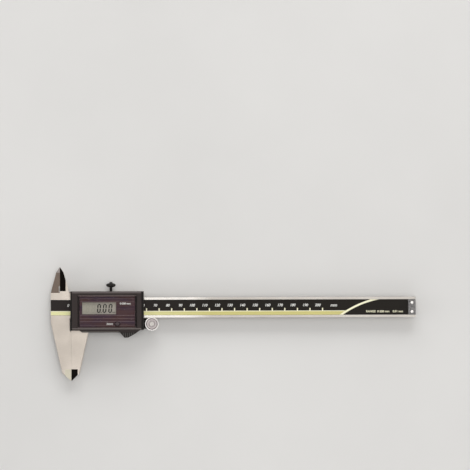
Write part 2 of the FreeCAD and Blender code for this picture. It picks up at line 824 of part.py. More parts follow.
def build_housing():
    body = new_body("display_housing")
    profile = sketch(body, "housing_profile", "YZ_Plane", d.housing_start)
    skirt_inner = d.slider_low + d.skirt_gap
    outline(profile, [
        (d.housing_high, d.housing_base),
        (d.housing_high, d.housing_top - d.bevel),
        (d.housing_high - d.bevel, d.housing_top),
        (d.lower_bevel - d.housing_low, d.housing_top),
        (-d.housing_low, d.housing_top - d.lower_bevel),
        (-d.housing_low, d.housing_top - d.skirt_rise),
        (-d.housing_skirt, d.housing_top - d.skirt_fall),
        (-d.housing_skirt, -d.skirt_base),
        (-skirt_inner, -d.skirt_base),
        (-skirt_inner, d.housing_base),
    ])
    pad(body, "housing_pad", profile, d.housing_end - d.housing_start)

    rest = sketch(body, "thumb_rest_profile", offset=-d.skirt_base)
    root = PAST / 2
    flat_start = d.rest_start + d.rest_lead
    flat_end = flat_start + d.rest_flat
    tail = (flat_end + d.rest_tail, d.rest_tail_rise - d.rest_drop)
    outline(rest, [
        (d.rest_start, root - d.housing_skirt),
        (flat_start, -d.rest_drop),
        (flat_end, -d.rest_drop),
        tail,
        (d.rest_end, -d.housing_low),
        (d.rest_end, root - d.housing_low),
        (d.rest_start, root - d.housing_low),
    ])
    pad(body, "thumb_rest_pad", rest, d.housing_top - d.rest_top + d.skirt_base)
    slope = sketch(body, "thumb_rest_slope", "YZ_Plane", d.rest_start - PAST)
    outline(slope, [
        (-d.housing_skirt, d.housing_top - d.rest_top),
        (-d.rest_drop - PAST, d.housing_top - d.rest_top - d.rest_fall),
        (-d.rest_drop - PAST, d.housing_top),
        (-d.housing_skirt, d.housing_top),
    ])
    pocket(body, "thumb_rest_slope_cut", slope, d.rest_end - d.rest_start + PAST * 2, along_normal=True)

    jaw_room = sketch(body, "jaw_room", offset=-d.skirt_base)
    jaw_x = (d.housing_start - PAST, d.slide_jaw_root + d.skirt_gap * 3)
    rectangle(jaw_room, jaw_x, (-d.housing_skirt - PAST, PAST / 2 - d.slider_low))
    pocket(body, "jaw_room_cut", jaw_room, d.skirt_base + d.beam_thick + d.skirt_gap, along_normal=True)

    notch = sketch(body, "skirt_notch", offset=d.housing_top)
    outline(notch, [
        (d.housing_start - PAST, -d.notch_y),
        (d.notch_x, -d.notch_y),
        (d.notch_x + d.notch_slope, -d.housing_skirt),
        (d.notch_x + d.notch_slope, -d.housing_skirt - PAST),
        (d.housing_start - PAST, -d.housing_skirt - PAST),
    ])
    pocket(body, "skirt_notch_cut", notch, d.housing_top + d.skirt_base)

    corner = sketch(body, "skirt_corner", offset=d.housing_top)
    beyond = d.housing_end + PAST
    outline(corner, [tail, (d.rest_end, -d.housing_low), (beyond, -d.housing_low), (beyond, tail[1])])
    pocket(body, "skirt_corner_cut", corner, d.housing_top + d.skirt_base)

    cavity = sketch(body, "cavity_profile", offset=d.housing_base)
    inside_x = (d.slider_start + d.wall, d.slider_end - d.wall)
    rectangle(cavity, inside_x, (d.wall * 0.75 - d.housing_low, d.housing_high - d.wall))
    pocket(body, "cavity_cut", cavity, d.ledge_under - d.housing_base, along_normal=True)
    skirt_floor = d.wall * 0.7 - d.skirt_base
    well = sketch(body, "skirt_well", offset=skirt_floor)
    well_x = (d.slide_jaw_root + d.wall, d.rest_end - d.wall * 1.6)
    rectangle(well, well_x, (-d.housing_low, -skirt_inner - d.wall * 0.6))
    pocket(body, "skirt_well_cut", well, d.housing_base, along_normal=True)

    recess = sketch(body, "window_recess", offset=d.housing_top)
    rectangle(recess, (d.window_start, d.window_end), (-d.window_low, d.window_high))
    pocket(body, "window_recess_cut", recess, d.housing_top - d.window_floor)
    opening = sketch(body, "window_opening", offset=d.housing_top)
    rectangle(opening, *display_opening())
    pocket(body, "window_opening_cut", opening, d.housing_top - d.ledge_under + SNUG)

    bosses = sketch(body, "screw_bosses", offset=d.housing_base)
    for x, y in housing_screw_places():
        circle(bosses, x, y, d.boss_radius)
    pad(body, "screw_bosses_pad", bosses, d.ledge_under - d.housing_base + SNUG)
    taps = sketch(body, "boss_taps", offset=d.housing_base)
    for x, y in housing_screw_places():
        circle(taps, x, y, d.screw_radius + d.tap_gap)
    pocket(body, "boss_taps_cut", taps, d.boss_tap_deep, along_normal=True)

    end_edges = [(x, d.housing_top) for x in (d.housing_start, d.housing_end)]
    soften(body, "end_bevels", "Chamfer", end_edges, d.end_bevel, along=1)
    return node(body, "display_housing")


def display_opening(shrink=0):
    """The clear opening behind the window: what shows of the solar cell."""
    return (
        (d.window_start + d.window_border + shrink, d.window_end - d.window_border - shrink),
        (-d.window_low + d.window_border_low + shrink, d.window_high - d.window_border_high - shrink),
    )


def build_window():
    pane = box(
        "window_pane",
        (d.window_start + HAIR, d.window_end - HAIR),
        (HAIR - d.window_low, d.window_high - HAIR),
        (d.window_floor, window_top),
    )
    hole = oval("window_hole", SNUG, d.window_floor - PAST, d.housing_top)
    node(cut("display_window", pane, [hole]), "display_window")


def lcd_view(grow=0):
    return (
        (d.lcd_view_start - grow, d.lcd_view_end + grow),
        (-d.lcd_view_low - grow, d.lcd_view_high + grow),
    )


def build_solar_cell():
    sheet_x, sheet_y = display_opening(SNUG)
    blank = box("solar_blank", sheet_x, sheet_y, (solar_low, solar_top))
    view = box("solar_view", *lcd_view(), (solar_low - PAST, solar_top + PAST))
    hole = oval("solar_hole", SNUG, solar_low - PAST, solar_top + PAST)
    node(cut("solar_cell", blank, [view, hole]), "solar_cell")


def build_lcd():
    """The display glass: a lower plate, and a shorter upper plate that leaves its contact ledges."""
    low, high = d.lcd_ledge, d.lcd_ledge + d.lcd_thick
    x, y = lcd_view(d.lcd_border)
    _, ledges = lcd_view(d.lcd_border * 2)
    seam = (low + high) / 2
    lower = box("lcd_lower_plate", x, ledges, (low, seam))
    upper = box("lcd_upper_plate", x, y, (seam, high))
    node(fuse("lcd_plates", [lower, upper]), "lcd_glass")


def build_lcd_holder():
    """The moulded tray on the board that carries the display glass and the solar cell."""
    out_x, out_y = display_opening(SNUG * 3)
    tray = box("holder_block", out_x, out_y, (d.board_top, solar_low))
    through = (d.board_top - PAST, solar_low + PAST)
    seat_x, _ = lcd_view(d.lcd_border + SNUG)
    _, seat_y = lcd_view(d.lcd_border * 2 + SNUG)
    seat = box("holder_seat", seat_x, seat_y, (d.lcd_ledge, solar_low + PAST))
    middle = box("holder_middle", *lcd_view(-chip_room), through)
    slot_x, _ = lcd_view(SNUG * 3)
    slots = [box(f"holder_slot_{side}", slot_x, span, through) for side, span in connector_slots().items()]
    rib = 1.2
    component_x = (d.lcd_view_end + rib * 2, out_x[1] - rib)
    component_y = (d.can_y - d.can_radius - rib, out_y[1] - rib)
    component = box("holder_component", component_x, component_y, (d.board_top - PAST, solar_low - rib / 2))
    guide = oval("holder_guide", SNUG, d.board_top - PAST, solar_low + PAST)
    flange_grow = d.button_flange + SNUG * 1.5
    flange_room = oval("holder_flange_room", flange_grow, d.board_top - PAST, d.button_ceiling)
    tools = [seat, middle, *slots, component, guide, flange_room]
    node(cut("lcd_holder", tray, tools), "lcd_holder")


def connector_slots():
    """Where the two rubber connectors stand, just outside the display's opening."""
    wide = d.connector_wide + SNUG * 2
    return {
        "low": (-d.lcd_view_low - SNUG - wide, -d.lcd_view_low - SNUG),
        "high": (d.lcd_view_high + SNUG, d.lcd_view_high + SNUG + wide),
    }


def build_connectors():
    x, _ = lcd_view(-SNUG * 2)
    strips = [
        box(f"connector_{side}", x, (span[0] + SNUG, span[1] - SNUG), (d.board_top, d.lcd_ledge))
        for side, span in connector_slots().items()
    ]
    node(group("connector_strips", strips), "lcd_connectors")


def build_electronics():
    low = d.board_top - d.board_thick
    board = box("board_blank", *display_opening(SNUG * 3), (low, d.board_top))
    node(group("board_stack", [board]), "main_board")

    reader_x, reader_y = (d.reader_start, d.reader_end), (-d.reader_half, d.reader_half)
    reader = box("reader_blank", reader_x, reader_y, (d.beam_thick + d.reader_lift, low))
    node(group("reader_stack", [reader]), "reader_head")

    _, chip_y = lcd_view(-d.chip_inset)
    chip = box("chip_blank", (d.chip_start, d.chip_end), chip_y, (d.board_top, d.board_top + d.chip_high))
    node(group("chip_stack", [chip]), "controller_chip")

    can = cylinder("capacitor_can", d.can_radius, d.can_high, (d.can_x, d.can_y, d.board_top))
    node(group("capacitor_stack", [can]), "storage_capacitor")


def build_button():
    """The cap, its retaining flange, the stem, and the snap dome that it presses."""
    dome = doc.addObject("Part::Cone", "switch_dome")
    dome_base, stem_radius = 1.9, 0.9
    put(dome, Radius1=dome_base, Radius2=stem_radius, Height=d.dome_high)
    node(dome, "switch_dome", (d.button_x, -d.button_y, d.board_top))

    flange_thick = 0.8
    flange_top = d.button_ceiling - HAIR
    flange_low = flange_top - flange_thick
    stem_low = d.board_top + d.dome_high + d.button_travel + HAIR
    cap = oval("button_cap", 0, flange_low + SNUG, d.housing_top - HAIR)
    flange = oval("button_flange", d.button_flange, flange_low, flange_top)
    stem_place = (d.button_x, -d.button_y, stem_low)
    stem = cylinder("button_stem", stem_radius, flange_low - stem_low + SNUG, stem_place)
    node(fuse("button_parts", [cap, flange, stem]), "zero_button")


def build_housing_screws():
    """Four screws from the slider's back into the housing; one also holds the roller's arm."""
    screws = []
    arm_place = (d.fastener_x_high, -d.fastener_y_low)
    for number, (x, y) in enumerate(housing_screw_places(), start=1):
        on_arm = (x.number, y.number) == (arm_place[0].number, arm_place[1].number)
        back = d.arm_back if on_arm else d.slider_back
        screws.append(screw(f"housing_screw_{number}", (x, y, screw_sunk - back), INTO_BACK,
                            d.screw_radius, d.housing_screw, head=d.screw_head))
    node(group("back_screws", screws), "housing_screws")


# --- lock screw, thumb roller -------------------------------------------------------------------


def build_lock():
    pad_low = gib_outer + d.lock_pad_gap
    disc = cylinder("lock_pad", d.lock_radius, d.lock_pad_long, turn=INTO_TOP_EDGE)
    node(disc, "lock_pad", (d.lock_x, pad_low + d.lock_pad_long, lock_z))

    body = new_body("lock_screw")
    profile = sketch(body, "lock_profile")
    tip = pad_low + d.lock_pad_long + d.face_gap
    outline(profile, [
        (0, tip),
        (d.lock_radius - d.lock_tip_bevel, tip),
        (d.lock_radius, tip + d.lock_tip_bevel),
        (d.lock_radius, d.lock_knob_start),
        (d.lock_knob_radius - d.lock_taper, d.lock_knob_start),
        (d.lock_knob_radius, d.lock_knob_start + d.lock_taper_high),
        (d.lock_knob_radius, d.lock_knob_end - d.lock_round),
        (d.lock_knob_radius - d.lock_round, d.lock_knob_end),
        (d.lock_crown_radius, d.lock_knob_end),
        (d.lock_crown_radius * 0.8, d.lock_crown_end),
        (0, d.lock_crown_end),
    ])
    revolve(body, "lock_turned", profile, "V_Axis")
    node(body, "lock_screw", (d.lock_x, 0, lock_z))


def build_roller():
    hub_back, hub_front = -d.roller_back, d.beam_thick + SNUG
    head_seat = d.roller_front - d.pin_head_high
    body = new_body("thumb_roller")
    profile = sketch(body, "roller_profile", "XZ_Plane")
    bore = d.pin_radius + HAIR
    rim = d.roller_rim
    outline(profile, [
        (bore, hub_back),
        (d.roller_hub - rim, hub_back),
        (d.roller_hub, hub_back + rim),
        (d.roller_hub, hub_front),
        (d.roller_flange - rim / 2, hub_front),
        (d.roller_flange, hub_front + rim / 2),
        (d.roller_flange, d.roller_front - rim),
        (d.roller_flange - rim, d.roller_front),
        (d.pin_head, d.roller_front),
        (d.pin_head, head_seat),
        (bore, head_seat),
    ])
    revolve(body, "roller_turned", profile, "V_Axis")
    centre = (d.roller_x, -d.roller_y, 0)
    node(body, "thumb_roller", centre)

    shank = cylinder("pin_shank", d.pin_radius, d.arm_back + head_seat + SNUG, (0, 0, -d.arm_back))
    head = cylinder("pin_head", d.pin_head - SNUG, d.pin_head_high - SNUG, (0, 0, head_seat + HAIR))
    node(fuse("pin_parts", [shank, head]), "roller_pin", centre)

    arm_front = d.arm_thick - d.arm_back
    washer_thick = hub_back - arm_front - HAIR
    washer_radius = 2.6
    ring = cylinder("washer_ring", washer_radius, washer_thick, (0, 0, arm_front))
    hole = cylinder("washer_hole", d.pin_radius, washer_thick, (0, 0, arm_front))
    node(cut("washer_parts", ring, [hole]), "roller_washer", centre)


def build_roller_arm():
    body = new_body("roller_arm")
    strip = sketch(body, "arm_strip", offset=-d.arm_back)
    low, high = -d.roller_y - d.arm_radius, d.arm_radius - d.roller_y
    rectangle(strip, (d.arm_start, d.roller_x), (low, high))
    pad(body, "arm_strip_pad", strip, d.arm_thick)
    eye = sketch(body, "arm_eye", offset=-d.arm_back)
    circle(eye, d.roller_x, -d.roller_y, d.arm_radius)
    pad(body, "arm_eye_pad", eye, d.arm_thick)
    soften(body, "arm_corners", "Fillet", [(d.arm_start, low)], d.corner_curve * 2)

    eye_bore = sketch(body, "arm_eye_bore", offset=-d.arm_back)
    circle(eye_bore, d.roller_x, -d.roller_y, d.pin_radius)
    pocket(body, "arm_eye_bore_cut", eye_bore, d.arm_thick, along_normal=True)
    for name, radius, depth in screw_holes(d.arm_thick):
        holes = sketch(body, f"arm_{name}", offset=-d.arm_back)
        for x in (d.arm_screw_x, d.fastener_x_high):
            circle(holes, x, -d.fastener_y_low, radius)
        pocket(body, f"arm_{name}_cut", holes, depth, along_normal=True)
    node(body, "roller_arm")

    fixing = screw("arm_fixing", (d.arm_screw_x, -d.fastener_y_low, screw_sunk - d.arm_back), INTO_BACK,
                   d.screw_radius, d.short_screw, head=d.screw_head)
    node(group("arm_fixings", [fixing]), "roller_arm_screw")


# --- build, check and write ---------------------------------------------------------------------

build_main_beam()
build_scale()
build_end_stop()
build_slider_frame()
build_gib()
build_depth_rod()
build_rear_label()
build_housing()
build_window()
build_solar_cell()
build_lcd()
build_lcd_holder()
build_connectors()
build_electronics()
build_button()
build_housing_screws()
build_lock()
build_roller()
build_roller_arm()
doc.recompute()

for item in doc.Objects:
    if "Invalid" in item.State or "Error" in item.State:
        raise RuntimeError(f"{item.Name} failed: {item.State}")
os.makedirs("parts", exist_ok=True)
for label, item in nodes.items():
    shape = item.Shape
    if shape.isNull() or not shape.isValid() or not shape.Solids:
        raise RuntimeError(f"{label} has no valid solid")
    shape.exportStep(f"parts/{label}.step")
    size = shape.BoundBox
    print(f"{label:20} {len(shape.Solids)} solid(s) {shape.Volume:10.2f} mm3 "
          f"x {size.XMin:.2f}..{size.XMax:.2f} y {size.YMin:.2f}..{size.YMax:.2f} "
          f"z {size.ZMin:.2f}..{size.ZMax:.2f}")
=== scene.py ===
from collections import namedtuple
import math

import bmesh
import bpy
from mathutils import Matrix, Vector
from mathutils.bvhtree import BVHTree


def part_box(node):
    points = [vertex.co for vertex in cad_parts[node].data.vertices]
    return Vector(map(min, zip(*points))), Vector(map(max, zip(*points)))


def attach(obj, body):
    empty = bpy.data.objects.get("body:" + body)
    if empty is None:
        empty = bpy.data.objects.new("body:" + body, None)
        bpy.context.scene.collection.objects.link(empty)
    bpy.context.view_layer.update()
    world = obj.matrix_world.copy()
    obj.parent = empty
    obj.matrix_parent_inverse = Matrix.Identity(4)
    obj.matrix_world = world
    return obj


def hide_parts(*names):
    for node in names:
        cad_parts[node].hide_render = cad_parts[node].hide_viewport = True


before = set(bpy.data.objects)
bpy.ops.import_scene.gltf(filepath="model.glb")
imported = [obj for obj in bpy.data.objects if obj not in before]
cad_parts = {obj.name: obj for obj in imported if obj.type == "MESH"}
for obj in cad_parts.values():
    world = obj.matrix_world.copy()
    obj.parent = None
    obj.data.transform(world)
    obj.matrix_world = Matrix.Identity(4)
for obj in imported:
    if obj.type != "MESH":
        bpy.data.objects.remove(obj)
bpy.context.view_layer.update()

# Looks of the digital caliper. Sizes on the tool are in millimetres, and MM turns them into metres.
# The floor, the lights and the camera are in metres.
# Places on the tool are measured as in the CAD: X from the closed measuring plane along the beam,
# Y from the middle of the beam's width.

MM = 0.001


def box_mm(node):
    """A CAD node's low and high corner, in the row frame."""
    low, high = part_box(node)
    return low / MM, high / MM


BEAM_REACH = 274.0                      # measuring plane to the beam's free end
label_low, label_high = box_mm("scale_label")
ZERO_X = box_mm("end_stop")[1].x - BEAM_REACH
ZERO_Y = (label_low.y + label_high.y) / 2
LABEL_HALF = (label_high.y - label_low.y) / 2
INK = 0.02                              # thickness of printed ink

NOISE_SPAN = (0.3, 0.7)                 # holds nearly all values of a noise
CLOSE_SPAN = (0.35, 0.65)               # a little narrower, for more contrast
WAVE_SPAN = (-1.0, 1.0)
FACING_UP = (0.3, 0.6)                  # upward part of a normal, from none of a zone to all of it
MIX_A, MIX_B, MIX_RESULT = 6, 7, 2      # a Mix node's colour sockets


def on_tool(x, y):
    """A place on the tool, moved into the row frame."""
    return x + ZERO_X, y + ZERO_Y


def limits_on_tool(node):
    """A CAD node's left, right, lower and upper limit, measured on the tool."""
    low, high = box_mm(node)
    return low.x - ZERO_X, high.x - ZERO_X, low.y - ZERO_Y, high.y - ZERO_Y


# --- node materials -----------------------------------------------------------------------------


class Nodes:
    """Builds a node tree from nothing."""

    def __init__(self, tree):
        self.tree = tree
        self.tree.nodes.clear()

    def node(self, kind, **settings):
        made = self.tree.nodes.new(f"ShaderNode{kind}")
        for name, value in settings.items():
            setattr(made, name, value)
        return made

    def feed(self, socket, value):
        """Links another socket to this one, or sets its value."""
        if isinstance(value, bpy.types.NodeSocket):
            self.tree.links.new(value, socket)
        elif hasattr(value, "__len__") and len(value) == 3 and len(socket.default_value) == 4:
            socket.default_value = (*value, 1.0)
        else:
            socket.default_value = value

    def vector(self, operation, a, b=(0.0, 0.0, 0.0)):
        made = self.node("VectorMath", operation=operation)
        self.feed(made.inputs[0], a)
        self.feed(made.inputs[1], b)
        gives_number = operation in ("DOT_PRODUCT", "LENGTH")
        return made.outputs["Value" if gives_number else "Vector"]

    def component(self, vector, axis):
        made = self.node("SeparateXYZ")
        self.feed(made.inputs[0], vector)
        return made.outputs[axis]

    def math(self, operation, a, b=0.0):
        made = self.node("Math", operation=operation)
        self.feed(made.inputs[0], a)
        self.feed(made.inputs[1], b)
        return made.outputs[0]

    def ramp(self, value, low, high, to_low=0.0, to_high=1.0):
        made = self.node("MapRange")
        for socket, number in zip(made.inputs, (value, low, high, to_low, to_high)):
            self.feed(socket, number)
        return made.outputs[0]

    def blend(self, factor, a, b):
        made = self.node("Mix", data_type="RGBA")
        self.feed(made.inputs[0], factor)
        self.feed(made.inputs[MIX_A], a)
        self.feed(made.inputs[MIX_B], b)
        return made.outputs[MIX_RESULT]


class Finish(Nodes):
    """A node material. Its patterns are laid out in millimetres and ride with the piece."""

    def __init__(self, name):
        self.material = bpy.data.materials.new(name)
        self.material.use_nodes = True
        super().__init__(self.material.node_tree)
        metres = self.node("TexCoord").outputs["Object"]
        self.place = self.vector("MULTIPLY", metres, (1 / MM, 1 / MM, 1 / MM))

    def stretched(self, x, y, z):
        return self.vector("MULTIPLY", self.place, (x, y, z))

    def noise(self, scale, detail=3.0, place=None, roughness=0.55):
        """Noise with scale features to the millimetre."""
        made = self.node("TexNoise")
        self.feed(made.inputs["Vector"], place or self.place)
        self.feed(made.inputs["Scale"], scale)
        self.feed(made.inputs["Detail"], detail)
        self.feed(made.inputs["Roughness"], roughness)
        return made.outputs[0]

    def wave(self, value, pitch):
        return self.math("SINE", self.math("MULTIPLY", value, 2 * math.pi / pitch))

    def along_tool(self):
        return self.math("SUBTRACT", self.component(self.place, "X"), ZERO_X)

    def across_tool(self):
        return self.math("SUBTRACT", self.component(self.place, "Y"), ZERO_Y)

    def band(self, value, low, high, soft=0.05):
        """1 between two limits and 0 beyond them."""
        rising = self.ramp(value, low - soft, low + soft)
        falling = self.ramp(value, high - soft, high + soft, 1.0, 0.0)
        return self.math("MULTIPLY", rising, falling)

    def rounded(self, radius):
        made = self.node("Bevel", samples=4)
        self.feed(made.inputs["Radius"], radius * MM)
        return made.outputs[0]

    def edges(self, radius, faint=0.97, full=0.80):
        """1 on sharp edges, fading to 0 a radius away; faint and full are cosines of a turn."""
        true_normal = self.node("NewGeometry").outputs["Normal"]
        turn = self.vector("DOT_PRODUCT", self.rounded(radius), true_normal)
        return self.ramp(turn, faint, full)

    def uneven(self, pattern, low=0.0, high=1.0):
        """A number that follows a noise from low to high."""
        return self.ramp(pattern, *NOISE_SPAN, low, high)

    def two_tone(self, pattern, colour, dark, pale, span=NOISE_SPAN):
        """A colour that follows a pattern between two shares of its own brightness."""
        return self.blend(self.ramp(pattern, *span), scaled(colour, dark), scaled(colour, pale))

    def over(self, shade, mask, strength, colour):
        """Lays a colour over a shade where the mask is 1."""
        return self.blend(self.math("MULTIPLY", mask, strength), shade, colour)

    def patches(self, shade, pattern, low, high, strength, colour):
        """Lays a colour over a shade where a pattern is high."""
        return self.blend(self.ramp(pattern, low, high, 0.0, strength), shade, colour)

    def with_zones(self, zones, shade, rough, roughness, streak):
        """Lays each zone's colour, most often painted light or shade, and roughness over a finish's
        upward faces.

        roughness is the finish's plain value, which rough varies around.
        """
        normal = self.node("NewGeometry").outputs["Normal"]
        front = self.ramp(self.component(normal, "Z"), *FACING_UP)
        for zone in zones:
            inside = self.math("MULTIPLY", self.band(self.along_tool(), *zone.along, zone.soft),
                               self.band(self.across_tool(), *zone.across))
            inside = self.math("MULTIPLY", inside, front)
            streaked = self.two_tone(streak, zone.colour, dark=0.88, pale=1.08)
            shade = self.blend(inside, shade, streaked)
            change = self.math("MULTIPLY", inside, zone.roughness - roughness)
            rough = self.math("ADD", rough, change)
        return shade, rough

    def bump(self, height, depth, normal=None):
        made = self.node("Bump")
        self.feed(made.inputs["Height"], height)
        self.feed(made.inputs["Distance"], depth * MM)
        if normal is not None:
            self.feed(made.inputs["Normal"], normal)
        return made.outputs[0]

    def surface(self, colour, roughness, normal=None, **sockets):
        shader = self.node("BsdfPrincipled")
        self.feed(shader.inputs["Base Color"], colour)
        self.feed(shader.inputs["Roughness"], roughness)
        if normal is not None:
            self.feed(shader.inputs["Normal"], normal)
        for name, value in sockets.items():
            self.feed(shader.inputs[name.replace("_", " ")], value)
        return self.output(shader.outputs[0])

    def output(self, shader):
        self.feed(self.node("OutputMaterial").inputs["Surface"], shader)
        return self.material


def scaled(colour, share):
    return tuple(channel * share for channel in colour)


def ground_steel(name, colour, roughness, grain=(0.35, 9.0, 9.0), depth=0.0012, zones=()):
    """Satin steel with grinding lines, a little haze, fine scratches and a painted edge highlight.

    A piece with zones carries a jaw. Its painted edge highlight is stronger, except at the
    measuring plane.
    """
    f = Finish(name)
    lines = f.noise(scale=1.0, detail=4.0, place=f.stretched(*grain))
    haze = f.noise(scale=0.07, detail=3.0)
    pitting = f.noise(scale=3.5, detail=2.0)
    strokes = f.noise(scale=1.0, detail=1.0, place=f.stretched(0.12, 7.0, 3.0), roughness=0.4)
    scratches = f.ramp(strokes, low=0.70, high=0.76)
    shade = f.two_tone(lines, colour, dark=0.88, pale=1.05)
    shade = f.patches(shade, haze, low=0.35, high=0.7, strength=0.35, colour=scaled(colour, 0.80))
    shade = f.over(shade, scratches, strength=0.35, colour=scaled(colour, 1.18))
    rough = f.math("ADD", f.uneven(lines, roughness - 0.06, roughness + 0.05),
                   f.uneven(haze, -0.03, 0.05))
    shade, rough = f.with_zones(zones, shade, rough, roughness, lines)
    # Edges painted lighter: a painted highlight, strong on jaws and faint elsewhere.
    if zones:
        plane_half, edge_gain = 0.8, 1.6
        measuring_plane = f.band(f.along_tool(), -plane_half, plane_half)
        elsewhere = f.math("SUBTRACT", 1.0, measuring_plane)
        painted_edge_highlight = f.math("MULTIPLY", f.edges(radius=0.55), elsewhere)
        brighter = f.vector("MULTIPLY", shade, (edge_gain, edge_gain, edge_gain))
        shade = f.over(shade, painted_edge_highlight, strength=0.9, colour=brighter)
    else:
        shade = f.over(shade, f.edges(radius=0.25), strength=0.6, colour=scaled(colour, 1.3))
    pitting_depth = depth * 0.8
    normal = f.bump(lines, depth, f.rounded(radius=0.22))
    normal = f.bump(pitting, pitting_depth, normal)
    return f.surface(shade, rough, normal, Metallic=1.0)


def turned_steel(name, colour, roughness, centre, rings=()):
    """Lathe-turned steel, with fine grooves round the piece's own axis.

    Each of the rings gives its inner and outer radius and a painted colour: pale rings are painted
    highlights and dark rings painted shade.
    """
    f = Finish(name)
    groove_pitch = 0.14
    flat = f.vector("MULTIPLY", f.vector("SUBTRACT", f.place, tuple(centre)), (1.0, 1.0, 0.0))
    radius = f.vector("LENGTH", flat)
    grooves = f.wave(radius, groove_pitch)
    cloud = f.noise(scale=1.6, detail=3.0)
    spots = f.noise(scale=7.0, detail=2.0)
    shade = f.two_tone(grooves, colour, dark=0.80, pale=1.10, span=WAVE_SPAN)
    shade = f.patches(shade, cloud, low=0.40, high=0.68, strength=0.6, colour=scaled(colour, 0.55))
    for inner, outer, ring_painted_light in rings:
        shade = f.over(shade, f.band(radius, inner, outer), strength=0.85, colour=ring_painted_light)
    # Edges painted lighter, a painted highlight.
    shade = f.over(shade, f.edges(radius=0.12), strength=0.6, colour=scaled(colour, 1.3))
    rough = f.uneven(spots, roughness - 0.07, roughness + 0.08)
    normal = f.bump(grooves, depth=0.003, normal=f.rounded(radius=0.06))
    return f.surface(shade, rough, f.bump(spots, depth=0.002, normal=normal), Metallic=1.0)


def blasted_steel(name, colour):
    """Coarse, pitted metal that sparkles."""
    f = Finish(name)
    pits = f.noise(scale=0.9, detail=5.0, roughness=0.75)
    fine = f.noise(scale=6.0, detail=2.0)
    shade = f.two_tone(pits, colour, dark=0.35, pale=1.6, span=(0.36, 0.64))
    # Edges painted lighter, a painted highlight.
    shade = f.over(shade, f.edges(radius=0.25), strength=0.7, colour=scaled(colour, 1.9))
    rough = f.uneven(fine, 0.30, 0.50)
    normal = f.bump(pits, depth=0.06, normal=f.rounded(radius=0.15))
    return f.surface(shade, rough, f.bump(fine, depth=0.01, normal=normal), Metallic=1.0)


def plated_metal(name, colour, roughness, metallic):
    """Dark plating, thinned by wear along the edges."""
    f = Finish(name)
    bare_metal = (0.24, 0.225, 0.21)
    cloud = f.noise(scale=0.8, detail=3.0)
    fine = f.noise(scale=9.0, detail=2.0)
    wear = f.ramp(cloud, low=0.35, high=0.6, to_low=0.35, to_high=1.0)
    edge_wear_and_highlight = f.math("MULTIPLY", f.edges(radius=0.15), wear)
    shade = f.two_tone(cloud, colour, dark=0.75, pale=1.2)
    shade = f.over(shade, edge_wear_and_highlight, strength=0.5, colour=bare_metal)
    rough = f.uneven(fine, roughness - 0.06, roughness + 0.08)
    normal = f.bump(fine, depth=0.004, normal=f.rounded(radius=0.08))
    return f.surface(shade, rough, normal, Metallic=metallic)


def moulded_plastic(name, colour, roughness, grain=4.0, depth=0.010, shine=0.5, edge_wear_and_highlight=2.6, zones=()):
    """Plastic with a fine moulded texture. Its edges are a little smoother and painted brighter by
    the given gain, a painted highlight.
    """
    f = Finish(name)
    texture = f.noise(scale=grain, detail=3.0, roughness=0.6)
    cloud = f.noise(scale=0.05, detail=3.0)
    rubbed_and_lit_edges = f.edges(radius=0.30, faint=0.99, full=0.90)
    shade = f.two_tone(texture, colour, dark=0.80, pale=1.20, span=CLOSE_SPAN)
    shade = f.patches(shade, cloud, low=0.35, high=0.7, strength=0.4, colour=scaled(colour, 0.75))
    rough = f.uneven(texture, roughness - 0.05, roughness + 0.07)
    shade, rough = f.with_zones(zones, shade, rough, roughness, texture)
    # Painted highlight along the edges; the smoother roughness below is the plastic's own.
    shade = f.over(shade, rubbed_and_lit_edges, strength=0.6, colour=scaled(colour, edge_wear_and_highlight))
    rough = f.math("SUBTRACT", rough, f.math("MULTIPLY", rubbed_and_lit_edges, 0.12))
    normal = f.bump(texture, depth, f.rounded(radius=0.18))
    return f.surface(shade, rough, normal, Specular_IOR_Level=shine)


def printed_film(name, colour, roughness, metallic=0.0, shine=0.12, lit_near_jaws=None):
    """Printed ink: nearly even, with a trace of the screen it was printed through.

    A paler colour given for near the jaws is a painted highlight, which fades out along the beam.
    """
    f = Finish(name)
    lit_until, unlit_from = 20.0, 112.0
    screen = f.noise(scale=5.0, detail=2.0)
    flow = f.noise(scale=0.15, detail=3.0, place=f.stretched(0.3, 2.0, 1.0))
    shade = f.two_tone(screen, colour, dark=0.94, pale=1.06, span=CLOSE_SPAN)
    shade = f.patches(shade, flow, low=0.35, high=0.7, strength=0.3, colour=scaled(colour, 0.86))
    # Painted highlight: paler near the jaws, fading out along the beam.
    if lit_near_jaws:
        shade = f.blend(f.ramp(f.along_tool(), unlit_from, lit_until), shade, lit_near_jaws)
    rough = f.uneven(screen, roughness - 0.04, roughness + 0.05)
    return f.surface(shade, rough, f.bump(screen, depth=0.002), Metallic=metallic,
                     Specular_IOR_Level=shine)


def brushed_plate(name, colour):
    """A thin brushed aluminium plate with a rolled border line."""
    f = Finish(name)
    inset, line_soft = 0.9, 0.12
    strokes = f.noise(scale=1.0, detail=4.0, place=f.stretched(0.12, 16.0, 16.0))
    shade = f.two_tone(strokes, colour, dark=0.78, pale=1.12)
    left, right, lower, upper = limits_on_tool("rear_label")
    inner = f.math(
        "MULTIPLY",
        f.band(f.along_tool(), left + inset, right - inset, line_soft),
        f.band(f.across_tool(), lower + inset, upper - inset, line_soft),
    )
    rough = f.uneven(strokes, 0.30, 0.46)
    normal = f.bump(inner, depth=0.05)
    return f.surface(shade, rough, f.bump(strokes, depth=0.002, normal=normal), Metallic=1.0)


